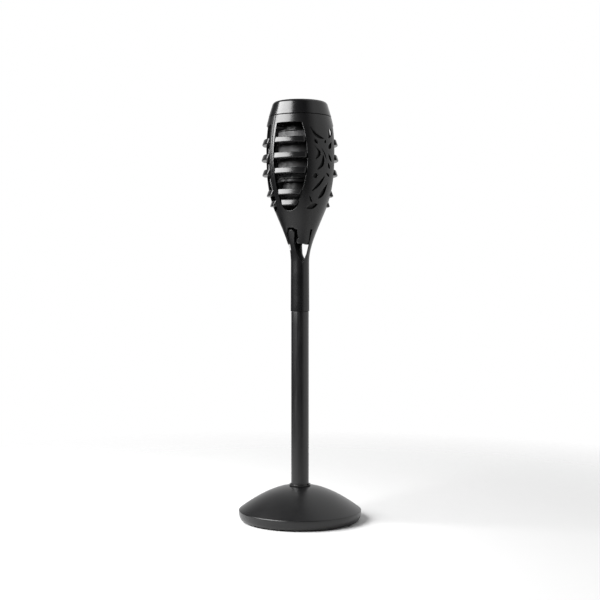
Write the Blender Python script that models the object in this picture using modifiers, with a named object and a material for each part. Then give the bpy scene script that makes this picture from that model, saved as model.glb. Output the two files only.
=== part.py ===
"""Solar tiki torch: weighted dome base, tube pole, tulip-shaped cage and a lift-out lamp.

Run with: blender --background --python part.py
All lengths are metres, +Z is up, and the origin is the centre of the footprint.
Azimuths are degrees about Z: 0 faces -Y, and they grow towards +X.
"""
import math

import bmesh
import bpy
from mathutils import Matrix, Vector

# ---------------------------------------------------------------- driving dimensions
GAP = 0.0003              # space left between two pieces that touch
SLIDE_GAP = 0.0004        # radial clearance of a sliding fit

POLE_RADIUS = 0.0127
POLE_WALL = 0.0015
POLE_TOP = 0.3000         # height of the pole's top end
PLUG_LENGTH = 0.016       # plug in the pole's lower end

BASE_RADIUS = 0.0881
BASE_WALL = 0.0024
BASE_BOTTOM = 0.0022      # lower rim of the dome cover
BASE_CREASE = 0.0152      # height of the edge between side wall and dome
BASE_TOP = 0.0492         # height of the dome's flat top
BASE_TUCK = 0.0030        # how far the lower rim draws in
DOME_POWER = 1.6          # 2 gives a parabola, 1 a cone
PLATE_THICKNESS = 0.0020
FOOT_HEIGHT = 0.0019
FOOT_RADIUS = 0.0070
FOOT_RING = 0.0760        # radius of the circle that the feet stand on
FOOT_TURN = -29.0         # azimuth of the first foot
FOOT_COUNT = 4
PLATE_SCREW_RADIUS = 0.0012
PLATE_SCREW_COUNT = 3
SCREW_HEAD_HEIGHT = 0.0012
BALLAST_RADIUS = 0.0660
BALLAST_HEIGHT = 0.0150
SOCKET_WALL = 0.0024
SOCKET_FLANGE = 0.0230
SOCKET_FLOOR = 0.0030
COLLAR_HEIGHT = 0.0026
COLLAR_WALL = 0.0021
COLLAR_NOTCH = 0.0042     # width of the key notch in the collar
COLLAR_NOTCH_TURN = 50.0
COLLAR_NOTCH_DEPTH = 0.6  # share of the collar's height

SLEEVE_RADIUS = 0.0135    # outside of the neck tube at its lower end
SLEEVE_WALL = 0.0017
SLEEVE_DEPTH = 0.0500     # how far the spigot enters the sleeve
SPIGOT_WALL = 0.0020
SPIGOT_LENGTH = 0.0300    # part of the spigot inside the pole
SPIGOT_LEAD_IN = 0.0015   # bevel at the spigot's upper end

NECK_Z = 0.3710
NECK_RADIUS = 0.0132
BELLY_Z = 0.5207
BELLY_RADIUS = 0.0526
RIM_Z = 0.5783
RIM_RADIUS = 0.0451
SHELL_WALL = 0.0024
NECK_EASE = 1.21          # how late the shell starts to narrow below its belly

VINE_AZIMUTH = 40.0       # centre of the first cut-out vine panel
WINDOW_OFFSET = 57.0      # from a vine panel's centre to the window beside it
SPLIT_AZIMUTH = 16.0      # centre of the first split in the neck
SPLIT_COUNT = 3
TAB_AZIMUTH = -33.0       # centre of the snap tab

LINER_THICKNESS = 0.0008  # dark sheet behind a vine panel
LINER_REACH = 24.2        # half of a liner's width, in degrees
LINER_MARGIN = 0.0015     # liner's reach above and below the windows

FIN_CLEARANCE = 0.0010    # from the lamp's flange to the fins that it slides past
FIN_ROOT = 0.0015         # least depth of the part of a fin inside the shell
FIN_ROOT_INSET = 0.0008   # how much lower than a fin's face its root is, at top and bottom
FIN_REACH = 0.0028        # how far a fin stands out of the shell
FIN_THICKNESS = 0.0083    # height of a fin's face
FIN_WINDOW_GAP = 0.0006   # open joint between a fin's end and its window
RAIL_THICKNESS = 0.0018
RAIL_WIDTH = 3.7          # degrees
RAIL_REACH = 32.2         # far edge of a rail, in degrees from its window's centre

CAP_SEAM = 0.0008         # open joint between cage and cap
CAP_HEIGHT = 0.0209
CAP_SHOULDER = 0.0396     # radius just under the rounded top edge
CAP_WALL = 0.0024
CAP_ROUND = 0.0028
PANEL_RADIUS = 0.0310
PANEL_THICKNESS = 0.0016
COVER_THICKNESS = 0.0012
COVER_BORDER = 0.0015     # how far the clear cover reaches past the solar panel
LEDGE_DEPTH = 0.0050      # how far the cap's ledge reaches under the solar panel
LEDGE_THICKNESS = 0.0016
PLUG_DEPTH = 0.0085       # part of the tray inside the cage's rim
SEAL_SEAT = 0.0030        # depth of the seal's seat under the cage's rim
SEAL_WIDTH = 0.0028
TRAY_RISE = 0.0060        # part of the tray inside the cap
TRAY_WALL = 0.0020
CAP_SCREW_RADIUS = 0.0011
CAP_SCREW_GRIP = 0.0095   # length of a cap screw inside its boss
CAP_SCREW_TURN = 30.0
CAP_SCREW_COUNT = 3
BOSS_RADIUS = 0.0030

DRAWN_BELLY = 0.0526      # belly radius that the outlines and the lamp are drawn for
DIFFUSER_RADIUS = 0.0310 * BELLY_RADIUS / DRAWN_BELLY
DIFFUSER_WALL = 0.0016
DIFFUSER_BOTTOM = 0.4886
DIFFUSER_TOP = 0.5560
CROWN_RADIUS = 0.0225
FLANGE_LIP = 0.0020       # how far the flange stands out past the diffuser
FLANGE_THICKNESS = 0.0044
CUP_NECK_RADIUS = 0.0240
CUP_NECK_BOTTOM = 0.4740
CUP_RADIUS = 0.0216
CUP_BOTTOM = 0.4510
CUP_WALL = 0.0020

CARRIER_RADIUS = 0.0120
CARRIER_WALL = 0.0014
BOARD_THICKNESS = 0.0008
LED_ROWS = 5
LEDS_PER_ROW = 6
LED_SIZE = 0.0030
LED_HEIGHT = 0.0012
CELL_RADIUS = 0.0070
CELL_LENGTH = 0.0480
CIRCUIT_RADIUS = 0.0180
CIRCUIT_THICKNESS = 0.0016
SWITCH_SIZE = 0.0060
SWITCH_HEIGHT = 0.0040
BUTTON_RADIUS = 0.0048
BUTTON_TRAVEL = 0.0015
CELL_NUB = 0.0008
SPRING_HEIGHT = 0.0060
SPRING_WIRE = 0.0004
SPRING_TURNS = 3
SEAT_THICKNESS = 0.0012
CONTACT_THICKNESS = 0.0008
BUTTON_RIM = 0.0016       # flange that keeps the button in the cup
BUTTON_RIM_HEIGHT = 0.0012
CIRCUIT_DROP = 0.0020     # from the cup's top edge down to the circuit board
STRIP_MARGIN = 0.0040     # from the diffuser's ends to the LED board
CROWN_STEP = 0.0020
LEAD_RADIUS = 0.0006

STEPS = 40                # sides of the large turned pieces
FINE_STEPS = 24           # sides of the small ones
FOOT_STEPS = 16
SMALL_STEPS = 8           # sides of screws and leads

# ---------------------------------------------------------------- levels that follow
PLATE_BOTTOM = FOOT_HEIGHT + GAP
PLATE_TOP = PLATE_BOTTOM + PLATE_THICKNESS
SOCKET_BOTTOM = PLATE_TOP + GAP
POLE_BOTTOM = SOCKET_BOTTOM + SOCKET_FLOOR + GAP
SOCKET_BORE = POLE_RADIUS + SLIDE_GAP
COLLAR_BOTTOM = BASE_TOP + GAP
SLEEVE_BOTTOM = POLE_TOP + GAP
SLEEVE_BORE = SLEEVE_RADIUS - SLEEVE_WALL
CAP_BOTTOM = RIM_Z + CAP_SEAM
CAP_TOP = CAP_BOTTOM + CAP_HEIGHT
CUP_TOP = DIFFUSER_BOTTOM - GAP
FLANGE_BOTTOM = CUP_TOP - FLANGE_THICKNESS
FLANGE_RADIUS = DIFFUSER_RADIUS + FLANGE_LIP
FIN_INNER = FLANGE_RADIUS + FIN_CLEARANCE

# Height of the middle of each louvre fin above the belly.
FIN_HEIGHTS = (0.0210, -0.0011, -0.0224, -0.0518, -0.0665)

# Right-hand window, from its upper right corner round the bottom to its upper left corner:
# distance across from the window's centre line, and height above the belly.
WINDOW_OUTLINE = (
    (0.0165, 0.0453), (0.0223, 0.0218), (0.0251, -0.0067), (0.0218, -0.0327),
    (0.0135, -0.0570), (0.0066, -0.0721), (-0.0035, -0.0777), (-0.0128, -0.0743),
    (-0.0189, -0.0597), (-0.0232, -0.0327), (-0.0247, -0.0007), (-0.0232, 0.0253),
    (-0.0205, 0.0453),
)

# Vine panel: each leaf runs from one tip to the other, with its width, the sideways bow of its
# middle and the place of its widest point. Heights are above the belly.
VINE_LEAVES = (
    ((-0.0187, 0.0370), (0.0012, 0.0228), 0.0036, -0.0044, 0.60),
    ((0.0188, 0.0382), (0.0105, 0.0238), 0.0070, 0.0000, 0.38),
    ((0.0016, 0.0160), (0.0042, 0.0212), 0.0026, 0.0000, 0.50),
    ((-0.0145, 0.0216), (-0.0104, 0.0146), 0.0028, -0.0008, 0.50),
    ((0.0172, 0.0200), (0.0090, 0.0088), 0.0050, 0.0006, 0.62),
    ((-0.0152, 0.0110), (-0.0136, -0.0070), 0.0042, 0.0062, 0.66),
    ((-0.0047, 0.0090), (0.0046, -0.0072), 0.0012, 0.0012, 0.50),
    ((0.0084, 0.0022), (0.0163, -0.0090), 0.0036, 0.0000, 0.50),
    ((-0.0016, 0.0000), (-0.0110, -0.0218), 0.0042, 0.0040, 0.50),
    ((0.0080, -0.0102), (0.0122, -0.0194), 0.0032, 0.0000, 0.55),
    ((-0.0164, -0.0310), (-0.0086, -0.0284), 0.0052, 0.0000, 0.50),
    ((0.0050, -0.0246), (0.0130, -0.0296), 0.0026, 0.0000, 0.60),
    ((0.0036, -0.0290), (-0.0152, -0.0512), 0.0032, 0.0010, 0.50),
    ((0.0118, -0.0368), (-0.0018, -0.0612), 0.0060, 0.0010, 0.66),
    ((-0.0160, -0.0566), (-0.0094, -0.0666), 0.0018, -0.0010, 0.50),
    ((-0.0162, -0.0748), (-0.0004, -0.0684), 0.0058, 0.0000, 0.50),
)

# Split in the neck: a V with a tongue of the cone hanging into it. Across, and height above
# the neck.
SPLIT_OUTLINE = (
    (0.0000, -0.0010), (0.0068, 0.0125), (0.0092, 0.0240), (0.0124, 0.0465),
    (0.0086, 0.0465), (0.0080, 0.0290), (0.0060, 0.0263), (0.0000, 0.0256),
    (-0.0068, 0.0263), (-0.0092, 0.0290), (-0.0104, 0.0465), (-0.0140, 0.0465),
    (-0.0126, 0.0270), (-0.0077, 0.0110),
)

# Arched slot round the snap tab. Across, and height above the neck.
TAB_OUTLINE = (
    (-0.0098, 0.0170), (-0.0098, 0.0425), (-0.0060, 0.0490), (0.0046, 0.0490),
    (0.0088, 0.0450), (0.0088, 0.0330), (0.0060, 0.0330), (0.0052, 0.0425),
    (0.0026, 0.0455), (-0.0030, 0.0455), (-0.0058, 0.0420), (-0.0072, 0.0170),
)


# ---------------------------------------------------------------- shell form
def dome_height(radius):
    """Height of the dome's outer face at a radius."""
    inner = SOCKET_BORE + COLLAR_WALL
    share = max(0.0, (radius - inner) / (BASE_RADIUS - inner))
    return BASE_CREASE + (BASE_TOP - BASE_CREASE) * (1.0 - share ** DOME_POWER)


def shell_radius(z):
    """Outer radius of the cage at a height, from the sleeve's end to the rim."""
    if z >= BELLY_Z:
        share = (z - BELLY_Z) / (RIM_Z - BELLY_Z)
        return BELLY_RADIUS - (BELLY_RADIUS - RIM_RADIUS) * share ** 2
    if z >= NECK_Z:
        share = ((BELLY_Z - z) / (BELLY_Z - NECK_Z)) ** NECK_EASE
        return BELLY_RADIUS - (BELLY_RADIUS - NECK_RADIUS) * (3 - 2 * share) * share ** 2
    share = (NECK_Z - z) / (NECK_Z - SLEEVE_BOTTOM)
    return NECK_RADIUS + (SLEEVE_RADIUS - NECK_RADIUS) * share


def shell_bore(z):
    """Inner radius of the cage at a height."""
    return max(SLEEVE_BORE, shell_radius(z) - SHELL_WALL)


def levels(bottom, top, count):
    """Evenly spaced heights from bottom to top."""
    return [bottom + (top - bottom) * i / (count - 1) for i in range(count)]


# ---------------------------------------------------------------- scene helpers
def clear_scene():
    for old in list(bpy.data.objects):
        bpy.data.objects.remove(old, do_unlink=True)


def new_collection(name):
    collection = bpy.data.collections.new(name)
    bpy.context.scene.collection.children.link(collection)
    return collection


def make_material(name, colour, roughness, metallic=0.0):
    material = bpy.data.materials.new(name)
    material.use_nodes = True
    shader = material.node_tree.nodes["Principled BSDF"]
    shader.inputs["Base Color"].default_value = (*colour, 1.0)
    shader.inputs["Roughness"].default_value = roughness
    shader.inputs["Metallic"].default_value = metallic
    material.diffuse_color = (*colour, 1.0)
    return material


def add_part(name, mesh, material):
    """A finished sub-part: round faces smooth, edges over 35 degrees sharp."""
    mesh.materials.clear()
    mesh.materials.append(material)
    mesh.shade_smooth()
    mesh.set_sharp_from_angle(angle=math.radians(35))
    part = bpy.data.objects.new(name, mesh)
    PARTS.objects.link(part)
    return part


def evaluated_mesh(source):
    """Mesh of an object with its modifiers, welded; the object is removed."""
    bpy.context.view_layer.update()
    depsgraph = bpy.context.evaluated_depsgraph_get()
    mesh = bpy.data.meshes.new_from_object(source.evaluated_get(depsgraph))
    mesh.transform(source.matrix_world)
    bpy.data.objects.remove(source, do_unlink=True)
    bm = bmesh.new()
    bm.from_mesh(mesh)
    bmesh.ops.remove_doubles(bm, verts=bm.verts, dist=0.00001)
    bm.to_mesh(mesh)
    bm.free()
    return mesh


def turned_mesh(profile, steps=STEPS, closed=True, start=None, sweep=360.0):
    """Profile of (radius, height) turned about Z. A closed profile runs down its outer side.

    With a start azimuth the profile sweeps only part of the circle and its ends are capped.
    """
    mesh = bpy.data.meshes.new("profile")
    verts = [(radius, 0.0, z) for radius, z in profile]
    edges = [(i, i + 1) for i in range(len(verts) - 1)]
    if closed:
        edges.append((len(verts) - 1, 0))
    mesh.from_pydata(verts, edges, [])
    source = bpy.data.objects.new("profile", mesh)
    PARTS.objects.link(source)
    screw = source.modifiers.new("Turn", "SCREW")
    screw.axis = "Z"
    screw.angle = math.radians(sweep)
    screw.steps = steps
    screw.render_steps = steps
    screw.use_merge_vertices = True
    screw.merge_threshold = 0.00001
    result = evaluated_mesh(source)
    if start is not None:
        bm = bmesh.new()
        bm.from_mesh(result)
        rims = [edge for edge in bm.edges if edge.is_boundary]
        bmesh.ops.holes_fill(bm, edges=rims)
        bmesh.ops.recalc_face_normals(bm, faces=bm.faces)
        bm.to_mesh(result)
        bm.free()
        result.transform(Matrix.Rotation(math.radians(start - 90.0), 4, "Z"))
    return result


def turned(name, profile, material, steps=STEPS, closed=True):
    return add_part(name, turned_mesh(profile, steps, closed), material)


def ring(name, inner, outer, bottom, top, material, steps=STEPS):
    """Plain ring or tube."""
    profile = [(outer, top), (outer, bottom), (inner, bottom), (inner, top)]
    return turned(name, profile, material, steps)


def disc(name, radius, bottom, top, material, steps=STEPS):
    """Plain round plate."""
    profile = [(0.0, top), (radius, top), (radius, bottom), (0.0, bottom)]
    return turned(name, profile, material, steps, closed=False)


def joined(meshes):
    """One mesh that holds several separate solids."""
    bm = bmesh.new()
    for mesh in meshes:
        bm.from_mesh(mesh)
    result = bpy.data.meshes.new("group")
    bm.to_mesh(result)
    bm.free()
    return result


def add_copies(name, mesh, places, material):
    """Identical sub-parts that share one mesh, numbered from 1."""
    first = add_part(name + "_1", mesh, material)
    first.matrix_world = places[0]
    for number, place in enumerate(places[1:], start=2):
        copy = first.copy()
        copy.name = "%s_%d" % (name, number)
        copy.matrix_world = place
        PARTS.objects.link(copy)


def copies(mesh, places):
    """The same solid set down at each place, as separate solids of one mesh."""
    meshes = []
    for place in places:
        copy = mesh.copy()
        copy.transform(place)
        meshes.append(copy)
    return joined(meshes)


def box_mesh(size, centre):
    bm = bmesh.new()
    bmesh.ops.create_cube(bm, size=1.0)
    bmesh.ops.scale(bm, vec=Vector(size), verts=bm.verts)
    bmesh.ops.translate(bm, vec=Vector(centre), verts=bm.verts)
    mesh = bpy.data.meshes.new("box")
    bm.to_mesh(mesh)
    bm.free()
    return mesh


def outward(azimuth):
    """Unit vector that points away from the axis at an azimuth."""
    angle = math.radians(azimuth)
    return Vector((math.sin(angle), -math.cos(angle), 0.0))


def facing(azimuth, distance=0.0):
    """Frame at a distance from the axis: X runs across, Y up, Z outwards."""
    out = outward(azimuth)
    across = Vector((-out.y, out.x, 0.0))
    up = Vector((0.0, 0.0, 1.0))
    frame = Matrix((across, up, out)).transposed().to_4x4()
    return Matrix.Translation(out * distance) @ frame


def around(count, radius, turn=0.0, z=0.0):
    """Places evenly spaced on a circle, each turned to face outwards."""
    places = []
    for i in range(count):
        azimuth = turn + 360.0 * i / count
        move = Matrix.Translation(outward(azimuth) * radius + Vector((0.0, 0.0, z)))
        places.append(move @ Matrix.Rotation(math.radians(azimuth), 4, "Z"))
    return places


def prism_mesh(outline, frame, depth):
    """Flat outline extruded evenly to both sides of its plane."""
    curve = bpy.data.curves.new("outline", "CURVE")
    curve.dimensions = "2D"
    curve.fill_mode = "BOTH"
    curve.extrude = depth / 2
    spline = curve.splines.new("POLY")
    spline.points.add(len(outline) - 1)
    for point, (x, y) in zip(spline.points, outline):
        point.co = (x, y, 0.0, 1.0)
    spline.use_cyclic_u = True
    source = bpy.data.objects.new("outline", curve)
    CUTTERS.objects.link(source)
    source.matrix_world = frame
    mesh = evaluated_mesh(source)
    bm = bmesh.new()
    bm.from_mesh(mesh)
    bmesh.ops.recalc_face_normals(bm, faces=bm.faces)
    bm.to_mesh(mesh)
    bm.free()
    return mesh


def boolean(part, meshes, operation="DIFFERENCE"):
    """Cut, or join, a part with the given solids, which don't touch one another."""
    tool = bpy.data.objects.new(part.name + "_tool", joined(meshes))
    tool.hide_render = True
    tool.display_type = "WIRE"
    CUTTERS.objects.link(tool)
    modifier = part.modifiers.new(operation.title(), "BOOLEAN")
    modifier.operation = operation
    modifier.solver = "EXACT"
    modifier.object = tool


def cylinder_mesh(radius, bottom, top, steps=FINE_STEPS):
    profile = [(0.0, top), (radius, top), (radius, bottom), (0.0, bottom)]
    return turned_mesh(profile, steps, closed=False)


def smooth_line(points, cuts):
    """Curve through the points, with the given number of spans between each two."""
    line = []
    last = len(points) - 1
    for i in range(last):
        before = Vector(points[max(i - 1, 0)])
        start = Vector(points[i])
        end = Vector(points[i + 1])
        after = Vector(points[min(i + 2, last)])
        for step in range(cuts):
            t = step / cuts
            line.append(0.5 * (2 * start + (end - before) * t
                               + (2 * before - 5 * start + 4 * end - after) * t ** 2
                               + (3 * start - before - 3 * end + after) * t ** 3))
    line.append(Vector(points[last]))
    return [(point.x, point.y) for point in line]


def leaf_outline(tip, stem, width, bow, widest, spans=5):
    """Leaf between two tips: its middle line is bowed and its width swells to one side."""
    tip = Vector(tip)
    stem = Vector(stem)
    along = (stem - tip).normalized()
    across = Vector((-along.y, along.x))
    power = math.log(0.5) / math.log(widest)
    left = []
    right = []
    for i in range(1, spans):
        t = i / spans
        middle = tip.lerp(stem, t) + across * (bow * math.sin(math.pi * t))
        half = across * (0.5 * width * math.sin(math.pi * t ** power))
        left.append(middle + half)
        right.append(middle - half)
    ring_points = [tip] + left + [stem] + right[::-1]
    spread = BELLY_RADIUS / DRAWN_BELLY
    return [(spread * point.x, point.y + BELLY_Z) for point in ring_points]


def screw_mesh(radius, top, seat):
    """Screw that points up, its head under the seat."""
    bottom = seat - SCREW_HEAD_HEIGHT
    return turned_mesh([
        (0.0, top), (radius, top), (radius, seat), (2 * radius, seat), (2 * radius, bottom),
        (0.0, bottom),
    ], SMALL_STEPS, closed=False)


# ---------------------------------------------------------------- base
def build_base(plastic, rubber, steel, iron):
    crown = SOCKET_BORE + COLLAR_WALL
    outer = [(crown + (BASE_RADIUS - crown) * i / 8) for i in range(9)]
    profile = [(SOCKET_BORE, BASE_TOP)] + [(radius, dome_height(radius)) for radius in outer]
    side = BASE_CREASE - BASE_BOTTOM
    profile += [
        (BASE_RADIUS, BASE_BOTTOM + 0.7 * side),
        (BASE_RADIUS - 0.3 * BASE_TUCK, BASE_BOTTOM + 0.3 * side),
        (BASE_RADIUS - BASE_TUCK, BASE_BOTTOM),
    ]
    rim = BASE_RADIUS - BASE_TUCK - BASE_WALL
    profile += [(rim, BASE_BOTTOM), (rim, BASE_CREASE - BASE_WALL)]
    inner = [radius for radius in outer if radius < rim - BASE_WALL]
    profile += [(radius, dome_height(radius) - BASE_WALL) for radius in inner[::-1]]
    profile += [(SOCKET_BORE, BASE_TOP - BASE_WALL)]
    turned("base_cover", profile, plastic)

    plate_radius = rim - GAP
    plate = disc("base_plate", plate_radius, PLATE_BOTTOM, PLATE_TOP, plastic)
    screw_ring = 0.5 * (SOCKET_FLANGE + SOCKET_BORE + SOCKET_WALL)
    screw_places = around(PLATE_SCREW_COUNT, screw_ring)
    screw_hole = cylinder_mesh(PLATE_SCREW_RADIUS + GAP, PLATE_BOTTOM - PLATE_THICKNESS,
                               PLATE_TOP + PLATE_THICKNESS, SMALL_STEPS)
    boolean(plate, [copies(screw_hole, screw_places)])

    foot = turned_mesh([(0.0, FOOT_HEIGHT), (FOOT_RADIUS, FOOT_HEIGHT),
                        (FOOT_RADIUS, 0.0), (0.0, 0.0)], FOOT_STEPS, closed=False)
    add_copies("rubber_foot", foot, around(FOOT_COUNT, FOOT_RING, FOOT_TURN), rubber)

    socket_top = BASE_TOP - BASE_WALL - GAP
    socket_outer = SOCKET_BORE + SOCKET_WALL
    flange_top = SOCKET_BOTTOM + SOCKET_FLOOR
    socket = turned("pole_socket", [
        (0.0, flange_top), (SOCKET_BORE, flange_top), (SOCKET_BORE, socket_top),
        (socket_outer, socket_top), (socket_outer, flange_top), (SOCKET_FLANGE, flange_top),
        (SOCKET_FLANGE, SOCKET_BOTTOM), (0.0, SOCKET_BOTTOM),
    ], plastic, closed=False)
    socket_hole = cylinder_mesh(PLATE_SCREW_RADIUS + GAP, SOCKET_BOTTOM - SOCKET_FLOOR,
                                flange_top + SOCKET_FLOOR, SMALL_STEPS)
    boolean(socket, [copies(socket_hole, screw_places)])

    screw = screw_mesh(PLATE_SCREW_RADIUS, flange_top, PLATE_BOTTOM - GAP)
    add_copies("base_screw", screw, screw_places, steel)

    ballast_inner = SOCKET_FLANGE + 2 * GAP
    ring("ballast_weight", ballast_inner, BALLAST_RADIUS, SOCKET_BOTTOM,
         SOCKET_BOTTOM + BALLAST_HEIGHT, iron)

    collar_top = COLLAR_BOTTOM + COLLAR_HEIGHT
    collar = ring("socket_collar", SOCKET_BORE, crown, COLLAR_BOTTOM, collar_top,
                  plastic, FINE_STEPS)
    notch = box_mesh((COLLAR_NOTCH, COLLAR_NOTCH * 2, COLLAR_HEIGHT), (0.0, 0.0, 0.0))
    notch_z = COLLAR_BOTTOM + (1.5 - COLLAR_NOTCH_DEPTH) * COLLAR_HEIGHT
    notch.transform(Matrix.Translation(outward(COLLAR_NOTCH_TURN) * crown
                                       + Vector((0.0, 0.0, notch_z)))
                    @ Matrix.Rotation(math.radians(COLLAR_NOTCH_TURN), 4, "Z"))
    boolean(collar, [notch])


# ---------------------------------------------------------------- pole
def build_pole(paint, plastic):
    bore = POLE_RADIUS - POLE_WALL
    ring("pole_tube", bore, POLE_RADIUS, POLE_BOTTOM, POLE_TOP, paint, FINE_STEPS)

    disc("pole_plug", bore - GAP, POLE_BOTTOM, POLE_BOTTOM + PLUG_LENGTH, plastic, FINE_STEPS)

    lower = bore - GAP
    upper = SLEEVE_BORE - SLIDE_GAP
    inside = min(lower, upper) - SPIGOT_WALL
    top = SLEEVE_BOTTOM + SLEEVE_DEPTH
    turned("pole_spigot", [
        (inside, top), (upper - SPIGOT_LEAD_IN / 2, top), (upper, top - SPIGOT_LEAD_IN),
        (upper, POLE_TOP + GAP), (lower, POLE_TOP + GAP), (lower, POLE_TOP - SPIGOT_LENGTH),
        (inside, POLE_TOP - SPIGOT_LENGTH),
    ], plastic, FINE_STEPS)


# ---------------------------------------------------------------- head
def window_outline(side):
    """Window as seen from outside; side is 1 with the vine on its right, -1 mirrored."""
    line = smooth_line(WINDOW_OUTLINE, 2)
    spread = side * BELLY_RADIUS / DRAWN_BELLY
    return [(spread * x, y + BELLY_Z) for x, y in line]


def build_cage(plastic, dark):
    cone = levels(NECK_Z, BELLY_Z, 12)
    crown = levels(BELLY_Z, RIM_Z, 5)
    heights = [SLEEVE_BOTTOM] + cone + crown[1:]
    profile = [(shell_radius(z), z) for z in heights[::-1]]
    profile += [(shell_bore(z), z) for z in heights]
    cage = turned("torch_cage", profile, plastic)

    reach = BELLY_RADIUS * 0.9
    middle = BELLY_RADIUS * 0.85
    windows = []
    leaves = []
    for vine in (VINE_AZIMUTH, VINE_AZIMUTH + 180.0):
        for side in (1, -1):
            frame = facing(vine - side * WINDOW_OFFSET, middle)
            windows.append(prism_mesh(window_outline(side), frame, reach))
        frame = facing(vine, middle)
        for tip, stem, width, bow, widest in VINE_LEAVES:
            outline = leaf_outline(tip, stem, width, bow, widest)
            leaves.append(prism_mesh(outline, frame, reach))
    boolean(cage, windows)
    boolean(cage, leaves)

    neck_reach = 4.0 * NECK_RADIUS
    splits = []
    for i in range(SPLIT_COUNT):
        frame = facing(SPLIT_AZIMUTH + 360.0 * i / SPLIT_COUNT, neck_reach / 2 + 0.004)
        outline = [(x, z + NECK_Z) for x, z in SPLIT_OUTLINE]
        splits.append(prism_mesh(outline, frame, neck_reach))
    boolean(cage, splits)
    frame = facing(TAB_AZIMUTH, neck_reach / 2 + 0.004)
    outline = [(x, z + NECK_Z) for x, z in TAB_OUTLINE]
    boolean(cage, [prism_mesh(outline, frame, neck_reach)])

    lowest = BELLY_Z + min(height for across, height in WINDOW_OUTLINE) - LINER_MARGIN
    highest = BELLY_Z + max(height for across, height in WINDOW_OUTLINE) + LINER_MARGIN
    heights = levels(lowest, highest, 9)
    face = [(shell_bore(z) - GAP - SLIDE_GAP, z) for z in heights[::-1]]
    back = [(radius - LINER_THICKNESS, z) for radius, z in face[::-1]]
    for number, vine in enumerate((VINE_AZIMUTH, VINE_AZIMUTH + 180.0), start=1):
        liner = turned_mesh(face + back, 6, True, vine - LINER_REACH, 2 * LINER_REACH)
        add_part("vine_liner_%d" % number, liner, dark)


def fin_inner(z):
    """Inner radius of a fin: clear of the lamp's flange, but never past its own root."""
    half = FIN_THICKNESS / 2
    return min(FIN_INNER, shell_bore(z - half) - FIN_ROOT, shell_bore(z + half) - FIN_ROOT)


def fin_profile(z):
    """Section of a fin: its face leans out towards the lower edge."""
    top = z + FIN_THICKNESS / 2
    bottom = z - FIN_THICKNESS / 2
    nose = shell_radius(z) + FIN_REACH
    return [
        (fin_inner(z), top), (nose - 0.0024, top), (nose - 0.0006, top - 0.0018),
        (nose, bottom + 0.0018), (nose - 0.0012, bottom), (fin_inner(z), bottom),
    ]


def fin_root_profile(z):
    """Section of the part of a fin that stays inside the shell and meets the rails."""
    half = FIN_THICKNESS / 2 - FIN_ROOT_INSET
    outer = min(shell_bore(z - half), shell_bore(z + half)) - GAP - SLIDE_GAP
    inner = fin_inner(z) + GAP
    return [(outer, z + half), (outer, z - half), (inner, z - half), (inner, z + half)]


def rail_profile(bottom, top):
    """Section of a rail that follows the inside of the shell."""
    heights = levels(bottom, top, 7)
    outer = [(shell_bore(z) - GAP - SLIDE_GAP, z) for z in heights[::-1]]
    inner = [(radius - RAIL_THICKNESS, z) for radius, z in outer[::-1]]
    return outer + inner


def inset(outline, distance):
    """Outline drawn in by a distance on every side."""
    points = [Vector(point) for point in outline]
    count = len(points)
    area = sum(points[i - 1].cross(points[i]) for i in range(count))
    turn = 1.0 if area > 0 else -1.0
    result = []
    for i in range(count):
        along = (points[(i + 1) % count] - points[i - 1]).normalized()
        result.append(points[i] + turn * distance * Vector((-along.y, along.x)))
    return [(point.x, point.y) for point in result]


def build_louvres(plastic):
    """One insert behind each window: five fins joined by a rail at either side."""
    fin_levels = [BELLY_Z + height for height in FIN_HEIGHTS]
    rail_bottom = fin_levels[-1] - FIN_THICKNESS / 4
    rail_top = fin_levels[0] + FIN_THICKNESS
    sweep = 2 * RAIL_REACH
    number = 0
    for vine in (VINE_AZIMUTH, VINE_AZIMUTH + 180.0):
        for side in (1, -1):
            number += 1
            centre = vine - side * WINDOW_OFFSET
            start = centre - RAIL_REACH
            fins = [turned_mesh(fin_profile(z), 8, True, start, sweep) for z in fin_levels]
            insert = add_part("louvre_%d" % number, joined(fins), plastic)
            opening = inset(window_outline(side), FIN_WINDOW_GAP)
            frame = facing(centre, BELLY_RADIUS * 0.85)
            boolean(insert, [prism_mesh(opening, frame, BELLY_RADIUS * 0.9)], "INTERSECT")
            roots = []
            for z in fin_levels:
                roots.append(turned_mesh(fin_root_profile(z), 8, True, start + 0.5, sweep - 1.0))
            boolean(insert, roots, "UNION")
            profile = rail_profile(rail_bottom, rail_top)
            far = centre + RAIL_REACH - RAIL_WIDTH
            rails = [turned_mesh(profile, 1, True, near, RAIL_WIDTH) for near in (start, far)]
            boolean(insert, rails, "UNION")


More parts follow.
